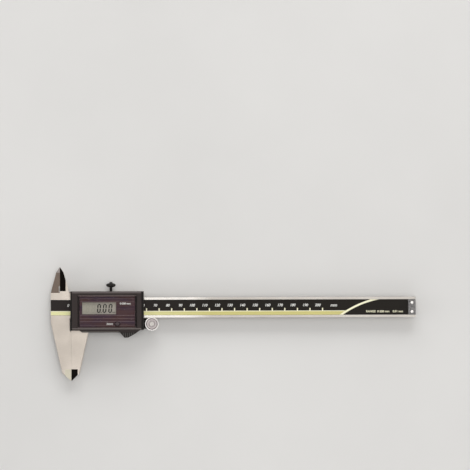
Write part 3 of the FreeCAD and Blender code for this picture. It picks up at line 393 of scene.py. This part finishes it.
def solar_film(name):
    """Dark cell strips with a brown to violet bloom, thin gaps between strips and fine ruling."""
    f = Finish(name)
    strip_pitch, strip_shift, gap_share, ruling_pitch = 2.45, 40.0, 0.07, 0.41
    brown, violet, warm = (0.098, 0.047, 0.044), (0.065, 0.041, 0.074), (0.120, 0.059, 0.054)
    ruling_dark, gap_pale = (0.048, 0.032, 0.038), (0.190, 0.125, 0.140)
    across = f.across_tool()
    strips = f.math("DIVIDE", f.math("ADD", across, strip_shift), strip_pitch)
    within = f.math("FRACT", strips)
    gap = f.math("ADD", f.ramp(within, 0.0, gap_share, 1.0, 0.0),
                 f.ramp(within, 1.0 - gap_share, 1.0))
    ruling = f.ramp(f.wave(across, ruling_pitch), *WAVE_SPAN)
    bloom = f.noise(scale=0.09, detail=3.0, place=f.stretched(0.5, 3.0, 1.0))
    strip = f.noise(scale=1.0, detail=1.0, place=f.stretched(0.004, 0.42, 0.0))
    shade = f.blend(f.ramp(bloom, low=0.38, high=0.62), brown, violet)
    shade = f.patches(shade, strip, *CLOSE_SPAN, strength=0.7, colour=warm)
    shade = f.over(shade, ruling, strength=0.4, colour=ruling_dark)
    shade = f.over(shade, gap, strength=0.6, colour=gap_pale)
    rough = f.ramp(ruling, low=0.0, high=1.0, to_low=0.24, to_high=0.36)
    return f.surface(shade, rough, f.bump(ruling, depth=0.004), Specular_IOR_Level=0.12)


def display_glass(name):
    """Reflective liquid-crystal glass: greenish grey, warmer to the right, with darker patches."""
    f = Finish(name)
    green_side, warm_side = (0.490, 0.470, 0.383), (0.509, 0.465, 0.402)
    cloud_dark, fibre_pale = (0.422, 0.400, 0.330), (0.70, 0.67, 0.58)
    left, right, _, _ = limits_on_tool("lcd_glass")
    cloud = f.noise(scale=0.12, detail=3.0)
    fibre = f.noise(scale=5.0, detail=2.0, place=f.stretched(1.0, 3.0, 1.0))
    shade = f.blend(f.ramp(f.along_tool(), left, right), green_side, warm_side)
    shade = f.patches(shade, cloud, low=0.35, high=0.7, strength=0.5, colour=cloud_dark)
    shade = f.patches(shade, fibre, low=0.4, high=0.7, strength=0.15, colour=fibre_pale)
    normal = f.bump(fibre, depth=0.001)
    return f.surface(shade, roughness=0.32, normal=normal, Specular_IOR_Level=0.15)


def clear_pane(name):
    """A thin clear cover: it mirrors a little, more at a slant, and lets the rest through."""
    f = Finish(name)
    smear = f.noise(scale=0.06, detail=4.0)
    fine = f.noise(scale=2.5, detail=2.0)
    tint = f.blend(f.uneven(smear), (0.93, 0.93, 0.94), (0.97, 0.97, 0.97))
    through = f.node("BsdfTransparent")
    f.feed(through.inputs["Color"], tint)
    mirror = f.node("BsdfAnisotropic")
    f.feed(mirror.inputs["Color"], (0.95, 0.95, 0.95))
    f.feed(mirror.inputs["Roughness"], f.uneven(smear, 0.03, 0.10))
    f.feed(mirror.inputs["Normal"], f.bump(fine, depth=0.0004))
    slant = f.node("LayerWeight")
    f.feed(slant.inputs["Blend"], 0.08)
    mixed = f.node("MixShader")
    f.feed(mixed.inputs[0], slant.outputs["Facing"])
    f.feed(mixed.inputs[1], through.outputs[0])
    f.feed(mixed.inputs[2], mirror.outputs[0])
    return f.output(mixed.outputs[0])


def solder_mask(name):
    """A green board with copper tracks showing faintly under the mask."""
    f = Finish(name)
    deep_green, pale_green, over_copper = (0.02, 0.11, 0.05), (0.03, 0.16, 0.08), (0.10, 0.26, 0.12)
    tracks = f.node("TexBrick")
    f.feed(tracks.inputs["Vector"], f.place)
    f.feed(tracks.inputs["Scale"], 0.9)
    f.feed(tracks.inputs["Mortar Size"], 0.03)
    copper = tracks.outputs["Fac"]
    cloud = f.noise(scale=0.8, detail=3.0)
    shade = f.blend(f.uneven(cloud), deep_green, pale_green)
    shade = f.over(shade, copper, strength=0.6, colour=over_copper)
    return f.surface(shade, f.uneven(cloud, 0.28, 0.42), f.bump(copper, depth=0.02))


def pale_floor(name):
    """Even, matt and pale, with a faint cloud and a fine grain."""
    f = Finish(name)
    cloud = f.noise(scale=0.004, detail=4.0)
    speck = f.noise(scale=0.9, detail=2.0)
    shade = f.blend(f.ramp(cloud, *CLOSE_SPAN), (0.70, 0.695, 0.685), (0.74, 0.735, 0.725))
    rough = f.uneven(speck, 0.60, 0.72)
    return f.surface(shade, rough, f.bump(speck, depth=0.02), Specular_IOR_Level=0.2)


roller_low, roller_high = box_mm("thumb_roller")
roller_axis = (roller_low + roller_high) / 2

# A zone is a stretch along X and across Y, how softly it ends along X, and its own colour and
# roughness; most zone colours are painted light or shade.
Zone = namedtuple("Zone", "along across soft colour roughness")

STEEL = (0.640, 0.580, 0.520)
HOUSING = (0.024, 0.0155, 0.0145)
# The end bevels' near-black colour is painted shade.
BEVEL_PAINTED_SHADE = (0.004, 0.003, 0.003)
whole_width = (-40.0, 40.0)
housing_zones = (
    Zone((1.2, 56.1), (11.7, 12.9), 0.3, (0.078, 0.065, 0.063), 0.42),        # upper bevel, painted highlight
    Zone((0.5, 56.2), (-16.95, -16.15), 0.3, (0.150, 0.128, 0.120), 0.40),    # front edge, painted highlight
    Zone((8.8, 38.4), (-19.3, -18.7), 0.3, (0.115, 0.100, 0.092), 0.42),      # lower edge, painted highlight
    Zone((37.5, 56.0), (-26.0, -19.6), 0.3, (0.012, 0.010, 0.009), 0.60),     # thumb rest, painted shade
    Zone((-1.0, 1.2), whole_width, 0.1, BEVEL_PAINTED_SHADE, 0.75),                    # left end's bevel, painted shade
    Zone((56.1, 60.0), whole_width, 0.1, BEVEL_PAINTED_SHADE, 0.75),                   # right end's bevel, painted shade
)
beam_zones = (
    Zone((-9.3, -4.3), (13.1, 40.0), 0.05, (0.052, 0.042, 0.037), 0.14),      # inside blade's facet, painted dark reflection, smoother
    Zone((-5.1, -0.08), (-60.0, -49.0), 0.05, (0.565, 0.535, 0.440), 0.36),   # jaw tip's facet
    Zone((20.0, 300.0), (-9.0, 9.0), 4.0, (0.47, 0.445, 0.415), 0.32),        # rails
    Zone((50.0, 103.0), (-9.0, 9.0), 8.0, (0.66, 0.64, 0.61), 0.26),          # rails, painted highlight, smoother
)
slider_zones = (
    Zone((-20.0, 0.5), (11.6, 27.9), 0.05, (0.196, 0.154, 0.129), 0.40),      # inside blade, painted shade
    Zone((-20.0, 0.5), (27.9, 40.0), 0.05, (0.34, 0.31, 0.30), 0.36),         # inside blade's tip, painted shade, less dark
    Zone((0.08, 5.1), (-60.0, -49.0), 0.05, (0.045, 0.038, 0.034), 0.30),     # jaw tip's facet, painted dark reflection
)
SCREW_GRAIN = (2.5, 2.5, 2.5)
finishes = {
    "main_beam": ground_steel("beam_steel", STEEL, 0.34, zones=beam_zones),
    "slider_frame": ground_steel("slider_steel", STEEL, 0.34, zones=slider_zones),
    "depth_rod": ground_steel("rod_steel", scaled(STEEL, 0.92), 0.30, grain=(0.2, 14.0, 14.0)),
    "end_stop": blasted_steel("stop_steel", (0.185, 0.180, 0.182)),
    "end_stop_screws": ground_steel("stop_screw_steel", (0.88, 0.86, 0.84), 0.24,
                                    grain=SCREW_GRAIN, depth=0.002),
    # The label's paler black near the jaws is a painted highlight.
    "scale_label": printed_film("label_black", (0.0125, 0.0100, 0.0075), 0.40, shine=0.14,
                                lit_near_jaws=(0.024, 0.019, 0.018)),
    "display_housing": moulded_plastic("housing_black", HOUSING, 0.46, shine=0.36, edge_wear_and_highlight=4.0,
                                       zones=housing_zones),
    "display_window": clear_pane("window_clear"),
    "solar_cell": solar_film("solar_film"),
    "lcd_glass": display_glass("lcd_glass"),
    "lcd_holder": moulded_plastic("tray_black", (0.018, 0.017, 0.017), 0.50),
    "zero_button": moulded_plastic("button_grey", (0.068, 0.048, 0.052), 0.38,
                                   grain=6.0, depth=0.004, shine=0.3),
    "rear_label": brushed_plate("label_aluminium", (0.62, 0.62, 0.62)),
    "roller_arm": plated_metal("arm_black", (0.007, 0.006, 0.006), 0.60, metallic=0.3),
    "roller_pin": turned_steel("pin_steel", (0.52, 0.50, 0.48), 0.24, roller_axis),
    "lcd_connectors": moulded_plastic("connector_rubber", (0.10, 0.10, 0.11), 0.75,
                                      grain=2.0, depth=0.02, shine=0.2),
    "controller_chip": moulded_plastic("chip_plastic", (0.020, 0.020, 0.020), 0.55,
                                       grain=5.0, depth=0.006),
    "storage_capacitor": ground_steel("can_metal", (0.66, 0.66, 0.66), 0.30,
                                      grain=(3.0, 3.0, 0.3)),
    "switch_dome": ground_steel("dome_steel", (0.74, 0.73, 0.71), 0.18, grain=(2.0, 2.0, 2.0)),
}
shared_finishes = (
    (("housing_screws", "depth_rod_screws", "roller_arm_screw", "gib_screws", "roller_washer"),
     ground_steel("screw_steel", (0.50, 0.49, 0.47), 0.26, grain=SCREW_GRAIN, depth=0.002)),
    (("gib_strip", "lock_pad"),
     ground_steel("rolled_brass", (0.68, 0.50, 0.24), 0.32, grain=(0.4, 8.0, 8.0))),
    (("main_board", "reader_head", "scale_board"), solder_mask("solder_mask")),
)
for group, finish in shared_finishes:
    for name in group:
        finishes[name] = finish

for name, finish in finishes.items():
    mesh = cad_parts[name].data
    mesh.materials.clear()
    mesh.materials.append(finish)


# --- new pieces ---------------------------------------------------------------------------------


class Piece:
    """Gathers closed solids, in millimetres, into one object that rides on a body."""

    def __init__(self):
        self.solids = bmesh.new()

    def skin(self, rings, closed):
        """Faces between rings of points; closed joins the last ring back to the first."""
        made = [[self.solids.verts.new(point) for point in ring] for ring in rings]
        count = len(made[0])
        pairs = list(zip(made, made[1:])) + ([(made[-1], made[0])] if closed else [])
        for lower, upper in pairs:
            for index in range(count):
                after = (index + 1) % count
                corners = (lower[index], lower[after], upper[after], upper[index])
                self.solids.faces.new(corners)
        if not closed:
            self.solids.faces.new(reversed(made[0]))
            self.solids.faces.new(made[-1])
        return self

    def ink(self, outline, low, thickness=INK):
        """A layer of ink over a counter-clockwise outline on the tool."""
        flat = [on_tool(*point) for point in outline]
        return self.skin([[(x, y, z) for x, y in flat] for z in (low, low + thickness)],
                         closed=False)

    def turned(self, profile, place, teeth, turn=Matrix.Identity(3), closed=False):
        """A solid turned round its own Z axis. A profile point is radius, height, knurl depth."""
        steps = 4
        sides = teeth * steps
        rings = []
        for radius, height, knurl in profile:
            ring = []
            for side in range(sides):
                valley = 1 - abs((side % steps) / (steps / 2) - 1)
                reach = radius - knurl * valley
                angle = 2 * math.pi * side / sides
                point = Vector((reach * math.cos(angle), reach * math.sin(angle), height))
                ring.append(turn @ point + place)
            rings.append(ring)
        return self.skin(rings, closed)

    def done(self, name, body, finish, slot=None, soften=0.0, sharp=35.0):
        """Turns the solids into an object that rides on a body.

        Edges that turn by more than sharp degrees stay sharp, and soften is a rounding's width.
        """
        merge_distance = 1e-5
        bmesh.ops.remove_doubles(self.solids, verts=self.solids.verts, dist=merge_distance)
        bmesh.ops.recalc_face_normals(self.solids, faces=self.solids.faces)
        self.solids.transform(Matrix.Scale(MM, 4))
        for face in self.solids.faces:
            face.smooth = True
        for line in self.solids.edges:
            line.smooth = len(line.link_faces) == 2 and line.calc_face_angle() < math.radians(sharp)
        mesh = bpy.data.meshes.new(name)
        self.solids.to_mesh(mesh)
        self.solids.free()
        piece = bpy.data.objects.new(name, mesh)
        bpy.context.scene.collection.objects.link(piece)
        mesh.materials.append(finish)
        if soften:
            rounding = piece.modifiers.new("rounding", "BEVEL")
            rounding.width = soften * MM
            rounding.segments = 2
            rounding.limit_method = "ANGLE"
        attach(piece, body)
        return piece


CAPITAL = 0.73                          # a capital's height in the built-in font, at size 1


def lettering(piece, text, place, height, low, lean=0.0, weight=0.0, anchor="CENTER"):
    """Adds raised letters. place is their middle, or their right end, and height is a capital's."""
    curve = bpy.data.curves.new("words", "FONT")
    curve.body = text
    curve.shear = lean
    curve.offset = weight
    curve.align_x = anchor
    curve.extrude = INK / 2
    holder = bpy.data.objects.new("words", curve)
    bpy.context.scene.collection.objects.link(holder)
    bpy.context.view_layer.update()
    mesh = bpy.data.meshes.new_from_object(holder)
    scale = height / CAPITAL
    x, y = on_tool(*place)
    flat = Matrix.Diagonal((scale, scale, 1.0, 1.0))
    seat = Matrix.Translation((x, y - height / 2, low + INK / 2))
    mesh.transform(seat @ flat)
    piece.solids.from_mesh(mesh)
    bpy.data.objects.remove(holder)
    bpy.data.curves.remove(curve)
    bpy.data.meshes.remove(mesh)


def rectangle(left, right, lower, upper):
    return [(left, lower), (right, lower), (right, upper), (left, upper)]


def oval(x, y, along, across, sides):
    turns = [2 * math.pi * side / sides for side in range(sides)]
    return [(x + along * math.cos(turn), y + across * math.sin(turn)) for turn in turns]


def arc_points(centre, radius, y_from, y_to, count=28):
    """Points on the left half of a circle, evenly spaced in height."""
    points = []
    for step in range(count + 1):
        y = y_from + (y_to - y_from) * step / count
        points.append((centre[0] - math.sqrt(radius ** 2 - (y - centre[1]) ** 2), y))
    return points


# The gold's paler colour near the jaws is a painted highlight.
gold = printed_film("scale_gold", (0.58, 0.53, 0.205), roughness=0.34, metallic=0.25, shine=0.3,
                    lit_near_jaws=(0.80, 0.79, 0.43))
pale_gold = printed_film("scale_tick", (0.90, 0.87, 0.64), roughness=0.40, shine=0.3)
white_ink = printed_film("white_ink", (0.74, 0.74, 0.71), roughness=0.45, shine=0.3)
label_top = label_high.z


def build_scale_print():
    """The gold stripe, the sweep that ends it, ticks every 10 mm, and the words and numbers."""
    stripe_top = -2.7
    margin = LABEL_HALF - 0.05
    start = label_low.x - ZERO_X + 0.05
    sweep_centre, sweep_inner, sweep_outer = (259.8, -69.0), 76.5, 78.1
    outline = [(start, -margin)]
    outline += arc_points(sweep_centre, sweep_outer, -margin, stripe_top)
    outline.append((start, stripe_top))
    Piece().ink(outline, label_top).done("scale_stripe", "beam", gold, "printed_scale")

    outline = arc_points(sweep_centre, sweep_inner, -margin, margin)
    outline += arc_points(sweep_centre, sweep_outer, margin, -margin)
    Piece().ink(outline, label_top).done("scale_sweep", "beam", pale_gold, "printed_scale")

    readings = range(0, 201, 10)
    lustre_low, lustre_ends = -3.25, (217.0, 217.9)
    tick_half, tick_high = 0.46, 2.1
    ticks = Piece()
    ticks.ink([(start, lustre_low), (lustre_ends[0], lustre_low), (lustre_ends[1], stripe_top),
               (start, stripe_top)], label_top + INK, INK / 2)
    for reading in readings:
        tick = rectangle(reading - tick_half, reading + tick_half, stripe_top,
                         stripe_top + tick_high)
        ticks.ink(tick, label_top)
    ticks.done("scale_ticks", "beam", pale_gold, "printed_scale")

    numbers = Piece()
    number_y, number_gap, number_high, lean = 1.8, 1.75, 2.1, 0.25
    for reading in readings:
        lettering(numbers, str(reading), (reading - number_gap, number_y), number_high, label_top,
                  lean, weight=0.03, anchor="RIGHT")
    lettering(numbers, "mm", place=(208.8, number_y - 0.1), height=2.5, low=label_top, lean=lean,
              weight=0.02)
    numbers.done("scale_numbers", "beam", white_ink, "printed_scale")

    span = Piece()
    lettering(span, "RANGE  0-200 mm    0.01 mm", place=(249.3, -3.4), height=1.7, low=label_top,
              weight=0.02)
    span.done("scale_range", "beam", pale_gold, "printed_scale")


FIRST_FIGURE, FIGURE_BASE, FIGURE_PITCH = 20.65, -4.0, 4.5
FIGURE_WIDE, FIGURE_HIGH, FIGURE_STROKE, FIGURE_LEAN, BAR_GAP = 3.0, 7.1, 0.92, 0.10, 0.10


def figure(piece, place, segments, low):
    """A seven-segment figure in one of the display's places; segments names its bars."""
    half, middle, high, wide = FIGURE_STROKE / 2, FIGURE_HIGH / 2, FIGURE_HIGH, FIGURE_WIDE
    left = FIRST_FIGURE + place * FIGURE_PITCH
    flat_bars = {"a": high - half, "g": middle, "d": half}
    tall_bars = {"f": (half, middle, high), "b": (wide - half, middle, high),
                 "e": (half, 0.0, middle), "c": (wide - half, 0.0, middle)}
    for name in segments:
        if name in flat_bars:
            y, x0, x1 = flat_bars[name], half + BAR_GAP, wide - half - BAR_GAP
            outline = [(x0, y), (x0 + half, y - half), (x1 - half, y - half),
                       (x1, y), (x1 - half, y + half), (x0 + half, y + half)]
        else:
            x, y0, y1 = tall_bars[name]
            y0, y1 = max(y0, half) + BAR_GAP, min(y1, high - half) - BAR_GAP
            outline = [(x, y0), (x + half, y0 + half), (x + half, y1 - half),
                       (x, y1), (x - half, y1 - half), (x - half, y0 + half)]
        piece.ink([(left + x + FIGURE_LEAN * y, FIGURE_BASE + y) for x, y in outline], low)


def build_readout():
    """The closed reading, 0.00 mm, and the bars that are off, which show faintly."""
    glass_top = box_mm("lcd_glass")[1].z
    lit_places, blank_places = (0, 1, 2), (-2, -1)
    figures = Piece()
    for place in lit_places:
        figure(figures, place, "abcdef", glass_top)
    point_gap, point_radius, point_sides = 0.55, 0.36, 16
    point = oval(FIRST_FIGURE + FIGURE_WIDE + point_gap, FIGURE_BASE + point_radius,
                 point_radius, point_radius, point_sides)
    figures.ink(point, glass_top)
    lettering(figures, "mm", place=(34.3, -3.45), height=1.25, low=glass_top, weight=0.01)
    figures.done("lcd_figures", "slider",
                 printed_film("readout_ink", (0.024, 0.024, 0.020), roughness=0.5), "lcd_glass")

    resting = Piece()
    for place in blank_places:
        figure(resting, place, "abcdefg", glass_top)
    for place in lit_places:
        figure(resting, place, "g", glass_top)
    resting.done("lcd_resting_figures", "slider",
                 printed_film("readout_resting", (0.454, 0.436, 0.357), roughness=0.4), "lcd_glass")


def build_window_print():
    """The words and the zero button's dark ring, printed on the window, and pale lines along its
    edges, a painted highlight.
    """
    face = box_mm("display_window")[1].z
    marking = Piece()
    lettering(marking, "ZERO", place=(31.1, -12.7), height=1.45, low=face, weight=0.01)
    lettering(marking, "0-200 mm", place=(43.4, 3.5), height=1.5, low=face, weight=0.03)
    marking.done("window_marking", "slider", white_ink, "clear_window")

    # Pale lines along the window's upper and lower edges, a painted highlight.
    border = Piece()
    left, right, lower, upper = limits_on_tool("display_window")
    inset, lower_inset, line_wide, lower_line_wide = 0.45, 0.15, 0.40, 0.24
    border.ink(rectangle(left + inset, right - inset, upper - inset - line_wide, upper - inset),
               face)
    border.ink(rectangle(left + inset, right - inset, lower + lower_inset,
                         lower + lower_inset + lower_line_wide), face)
    border.done("window_border", "slider",
                printed_film("painted_edge_line", (0.220, 0.175, 0.165), roughness=0.4), "clear_window")

    left, right, lower, upper = limits_on_tool("zero_button")
    middle = on_tool((left + right) / 2, (lower + upper) / 2)
    outer, inner, sides = (2.25, 1.80), (1.75, 1.40), 48
    top = face + INK
    rings = [[(x, y, z) for x, y in oval(*middle, *radii, sides)]
             for radii, z in ((outer, face), (outer, top), (inner, top), (inner, face))]
    ring = Piece().skin(rings, closed=True)
    ring.done("button_ring", "slider",
              printed_film("ring_black", (0.009, 0.007, 0.007), roughness=0.4), "clear_window")


def build_solar_lines():
    """The fine pale lines that divide the solar cell's rows, raised a little above its film."""
    left, right, _, _ = limits_on_tool("solar_cell")
    film_top = box_mm("solar_cell")[1].z
    inset, line_half = 0.2, 0.13
    lines = Piece()
    for y in (8.9, 7.3, 5.2, -6.0, -8.6, -10.9, -14.1):
        lines.ink(rectangle(left + inset, right - inset, y - line_half, y + line_half), film_top)
    lines.done("solar_bus_lines", "slider",
               printed_film("solar_line", (0.250, 0.180, 0.185), roughness=0.4), "solar_cell")


def build_thumb_ribs():
    """Grip ribs that follow the housing's sloping thumb rest down to its edge."""
    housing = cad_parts["display_housing"].data
    surface = BVHTree.FromPolygons(
        [vertex.co for vertex in housing.vertices],
        [tuple(face.vertices) for face in housing.polygons],
    )
    count, first_x, pitch = 6, 41.5, 1.66
    half, crest_half, proud, end_proud, sunk = 0.44, 0.242, 0.50, 0.05, -0.2
    start_y, end_y, step = -19.9, -24.0, 0.25
    look_from, look_down = box_mm("display_housing")[1].z + 1.0, 12.0
    ribs = Piece()
    for number in range(count):
        x = first_x + number * pitch
        crest = []
        y = start_y
        while y > end_y:
            spots = [Vector((*on_tool(x + side, y), look_from)) * MM for side in (-half, half)]
            hits = [surface.ray_cast(spot, Vector((0, 0, -1)), look_down * MM)[0] for spot in spots]
            if None in hits:
                break
            crest.append((y, hits[0].z / MM))
            y -= step
        rings = []
        for place, (y, z) in enumerate(crest):
            lift = proud if 0 < place < len(crest) - 1 else end_proud
            corners = ((-half, sunk), (half, sunk), (crest_half, lift), (-crest_half, lift))
            rings.append([(*on_tool(x + across, y), z + up) for across, up in corners])
        ribs.skin(rings, closed=False)
    # The ribs' plastic is painted several times lighter than the housing, a painted highlight.
    finish = moulded_plastic("rib_painted_highlight", (0.070, 0.064, 0.060), 0.44, shine=0.36)
    ribs.done("thumb_rest_ribs", "slider", finish, "black_plastic", soften=0.05)


def build_roller():
    """The knurled thumb roller: a straight-knurled hub and flange, with a dished, turned face."""
    face = roller_high.z - roller_low.z
    bore, seat, hub, flange = 1.05, 1.75, 4.97, 5.55
    seat_deep, flange_low, rim, chamfer, knurl = 0.45, 4.1, 0.3, 0.15, 0.16
    groove, hollow = face - 0.12, face - 0.08
    profile = [
        (bore, 0.0, 0.0),                                   # hub
        (hub - rim, 0.0, 0.0),
        (hub, rim, knurl),
        (hub, flange_low, knurl),
        (flange - chamfer, flange_low, knurl),              # flange
        (flange, flange_low + chamfer, knurl),
        (flange, face - rim, knurl),
        (flange - rim, face, 0.0),
        (flange - 0.75, face, 0.0),                         # groove inside the flange's rim
        (flange - 0.90, groove, 0.0),
        (flange - 1.35, groove, 0.0),
        (flange - 1.50, face, 0.0),
        (seat + 0.75, face, 0.0),                           # hollow ring round the pin's seat
        (seat + 0.65, hollow, 0.0),
        (seat + 0.40, hollow, 0.0),
        (seat + 0.30, face, 0.0),
        (seat, face, 0.0),                                  # seat for the pin's head
        (seat, face - seat_deep, 0.0),
        (bore, face - seat_deep, 0.0),
    ]
    roller = Piece()
    place = Vector((roller_axis.x, roller_axis.y, roller_low.z))
    roller.turned(profile, place, teeth=64, closed=True)
    # Pale rings at the flange's rim and round the middle are painted highlights; dark rings over
    # the groove, the hollow and the flat face between are painted shade.
    rings = (
        (flange - 0.95, flange + 0.50, (0.97, 0.95, 0.94)),
        (flange - 1.70, flange - 1.00, (0.13, 0.115, 0.118)),
        (flange - 2.75, flange - 2.35, (0.34, 0.31, 0.315)),
        (seat + 0.30, seat + 0.75, (0.20, 0.18, 0.185)),
        (0.0, seat - 0.3, (0.85, 0.81, 0.80)),
    )
    finish = turned_steel("roller_steel", (0.54, 0.49, 0.49), 0.30, roller_axis, rings)
    knurled = roller.done("knurled_roller", "thumb_roller", finish, "roller_steel", sharp=28.0)
    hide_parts("thumb_roller")


def build_lock_screw():
    """The lock screw: a turned shank and a domed, straight-knurled knob."""
    low, high = box_mm("lock_screw")
    centre = (low + high) / 2
    knob = (high.x - low.x) / 2
    length = high.y - low.y
    shank, collar, crown, knurl = 1.1, 0.35, 1.3, 0.22
    start = length - 4.1                                    # where the knob starts
    profile = [
        (0.0, 0.0, 0.0),                                    # shank
        (shank - 0.25, 0.0, 0.0),
        (shank, 0.25, 0.0),
        (shank, start - collar, 0.0),
        (shank + collar, start, 0.0),                       # knob's underside
        (2.3, start + 0.05, 0.0),
        (knob - 0.75, start + 0.35, 0.0),
        (knob - 0.15, start + 0.85, 0.0),
        (knob, start + 1.10, knurl),                        # knurled grip
        (knob, start + 2.05, knurl),
        (knob - 0.15, start + 2.30, 0.0),                   # dome
        (knob - 0.90, start + 2.85, 0.0),
        (2.0, start + 3.10, 0.0),
        (crown, start + 3.18, 0.0),                         # crown
        (crown - 0.15, length - 0.20, 0.0),
        (crown - 0.40, length, 0.0),
        (0.0, length, 0.0),
    ]
    along_y = Matrix.Rotation(math.radians(-90), 3, "X")
    screw = Piece()
    screw.turned(profile, Vector((centre.x, low.y, centre.z)), teeth=40, turn=along_y)
    finish = plated_metal("knob_metal", (0.014, 0.012, 0.011), 0.36, metallic=0.6)
    knurled = screw.done("knurled_lock_screw", "lock_screw", finish, "knob_metal", sharp=32.0)
    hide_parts("lock_screw")


build_scale_print()
build_readout()
build_window_print()
build_solar_lines()
build_thumb_ribs()
build_roller()
build_lock_screw()


# --- stage, light and camera --------------------------------------------------------------------


def build_floor():
    """A wide floor just below the object, so that it shares no plane with the object's back."""
    half, height = 9.0, -0.02 * MM
    corners = [(x, y, height) for x, y in rectangle(-half, half, -half, half)]
    mesh = bpy.data.meshes.new("floor")
    mesh.from_pydata(corners, [], [(0, 1, 2, 3)])
    mesh.materials.append(pale_floor("floor_pale"))
    floor = bpy.data.objects.new("floor", mesh)
    bpy.context.scene.collection.objects.link(floor)


def softbox(name, place, size, power, colour=(1.0, 1.0, 1.0), mirrored=False):
    """A rectangular soft light that faces the object. Glossy surfaces show it only if mirrored."""
    lamp = bpy.data.lights.new(name, "AREA")
    lamp.shape = "RECTANGLE"
    lamp.size, lamp.size_y = size
    lamp.energy = power
    lamp.color = colour
    holder = bpy.data.objects.new(name, lamp)
    holder.location = place
    towards_object = Vector((0.0, 0.0, 0.0)) - Vector(place)
    holder.rotation_euler = towards_object.to_track_quat("-Z", "Y").to_euler()
    holder.visible_camera = False
    holder.visible_glossy = mirrored
    bpy.context.scene.collection.objects.link(holder)


def build_lights():
    """A key overhead, and four fills round the object that leave no glare on steel and window."""
    softbox("key", place=(0.20, 0.05, 1.75), size=(1.9, 1.3), power=12.0,
            colour=(1.0, 0.985, 0.96), mirrored=True)
    softbox("back_fill", place=(0.1, 2.6, 0.95), size=(2.8, 0.9), power=54.0)
    softbox("front_fill", place=(0.1, -2.6, 0.95), size=(2.8, 0.9), power=11.0)
    softbox("left_fill", place=(-2.6, 0.0, 0.7), size=(1.6, 0.7), power=12.0)
    softbox("right_fill", place=(2.6, 0.0, 0.7), size=(1.6, 0.7), power=12.0)


def build_world():
    """A pale studio: bright near the horizon, dimmer overhead."""
    world = bpy.data.worlds.new("studio")
    world.use_nodes = True
    bright_until, dim_from = 0.30, 0.84
    horizon, overhead = (0.92, 0.91, 0.90), (0.07, 0.068, 0.066)
    sky = Nodes(world.node_tree)
    height = sky.component(sky.node("TexCoord").outputs["Generated"], "Z")
    colour = sky.blend(sky.ramp(height, bright_until, dim_from), horizon, overhead)
    background = sky.node("Background")
    sky.feed(background.inputs["Color"], colour)
    sky.feed(sky.node("OutputWorld").inputs["Surface"], background.outputs[0])
    bpy.context.scene.world = world


def build_camera():
    """Straight above the object, far away, with the caliper low and to the left of the middle."""
    height = 2.0
    seen_width = 0.3739
    middle = (0.00165, 0.0705)
    roll = math.radians(-0.14)
    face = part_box("scale_label")[1].z
    camera = bpy.data.cameras.new("camera")
    camera.sensor_width = 36.0
    camera.lens = camera.sensor_width * (height - face) / seen_width
    holder = bpy.data.objects.new("camera", camera)
    holder.location = (*middle, height)
    holder.rotation_euler = (0.0, 0.0, roll)
    bpy.context.scene.collection.objects.link(holder)
    bpy.context.scene.camera = holder


build_floor()
build_world()
build_camera()
build_lights()
bpy.context.scene.view_settings.view_transform = "Standard"
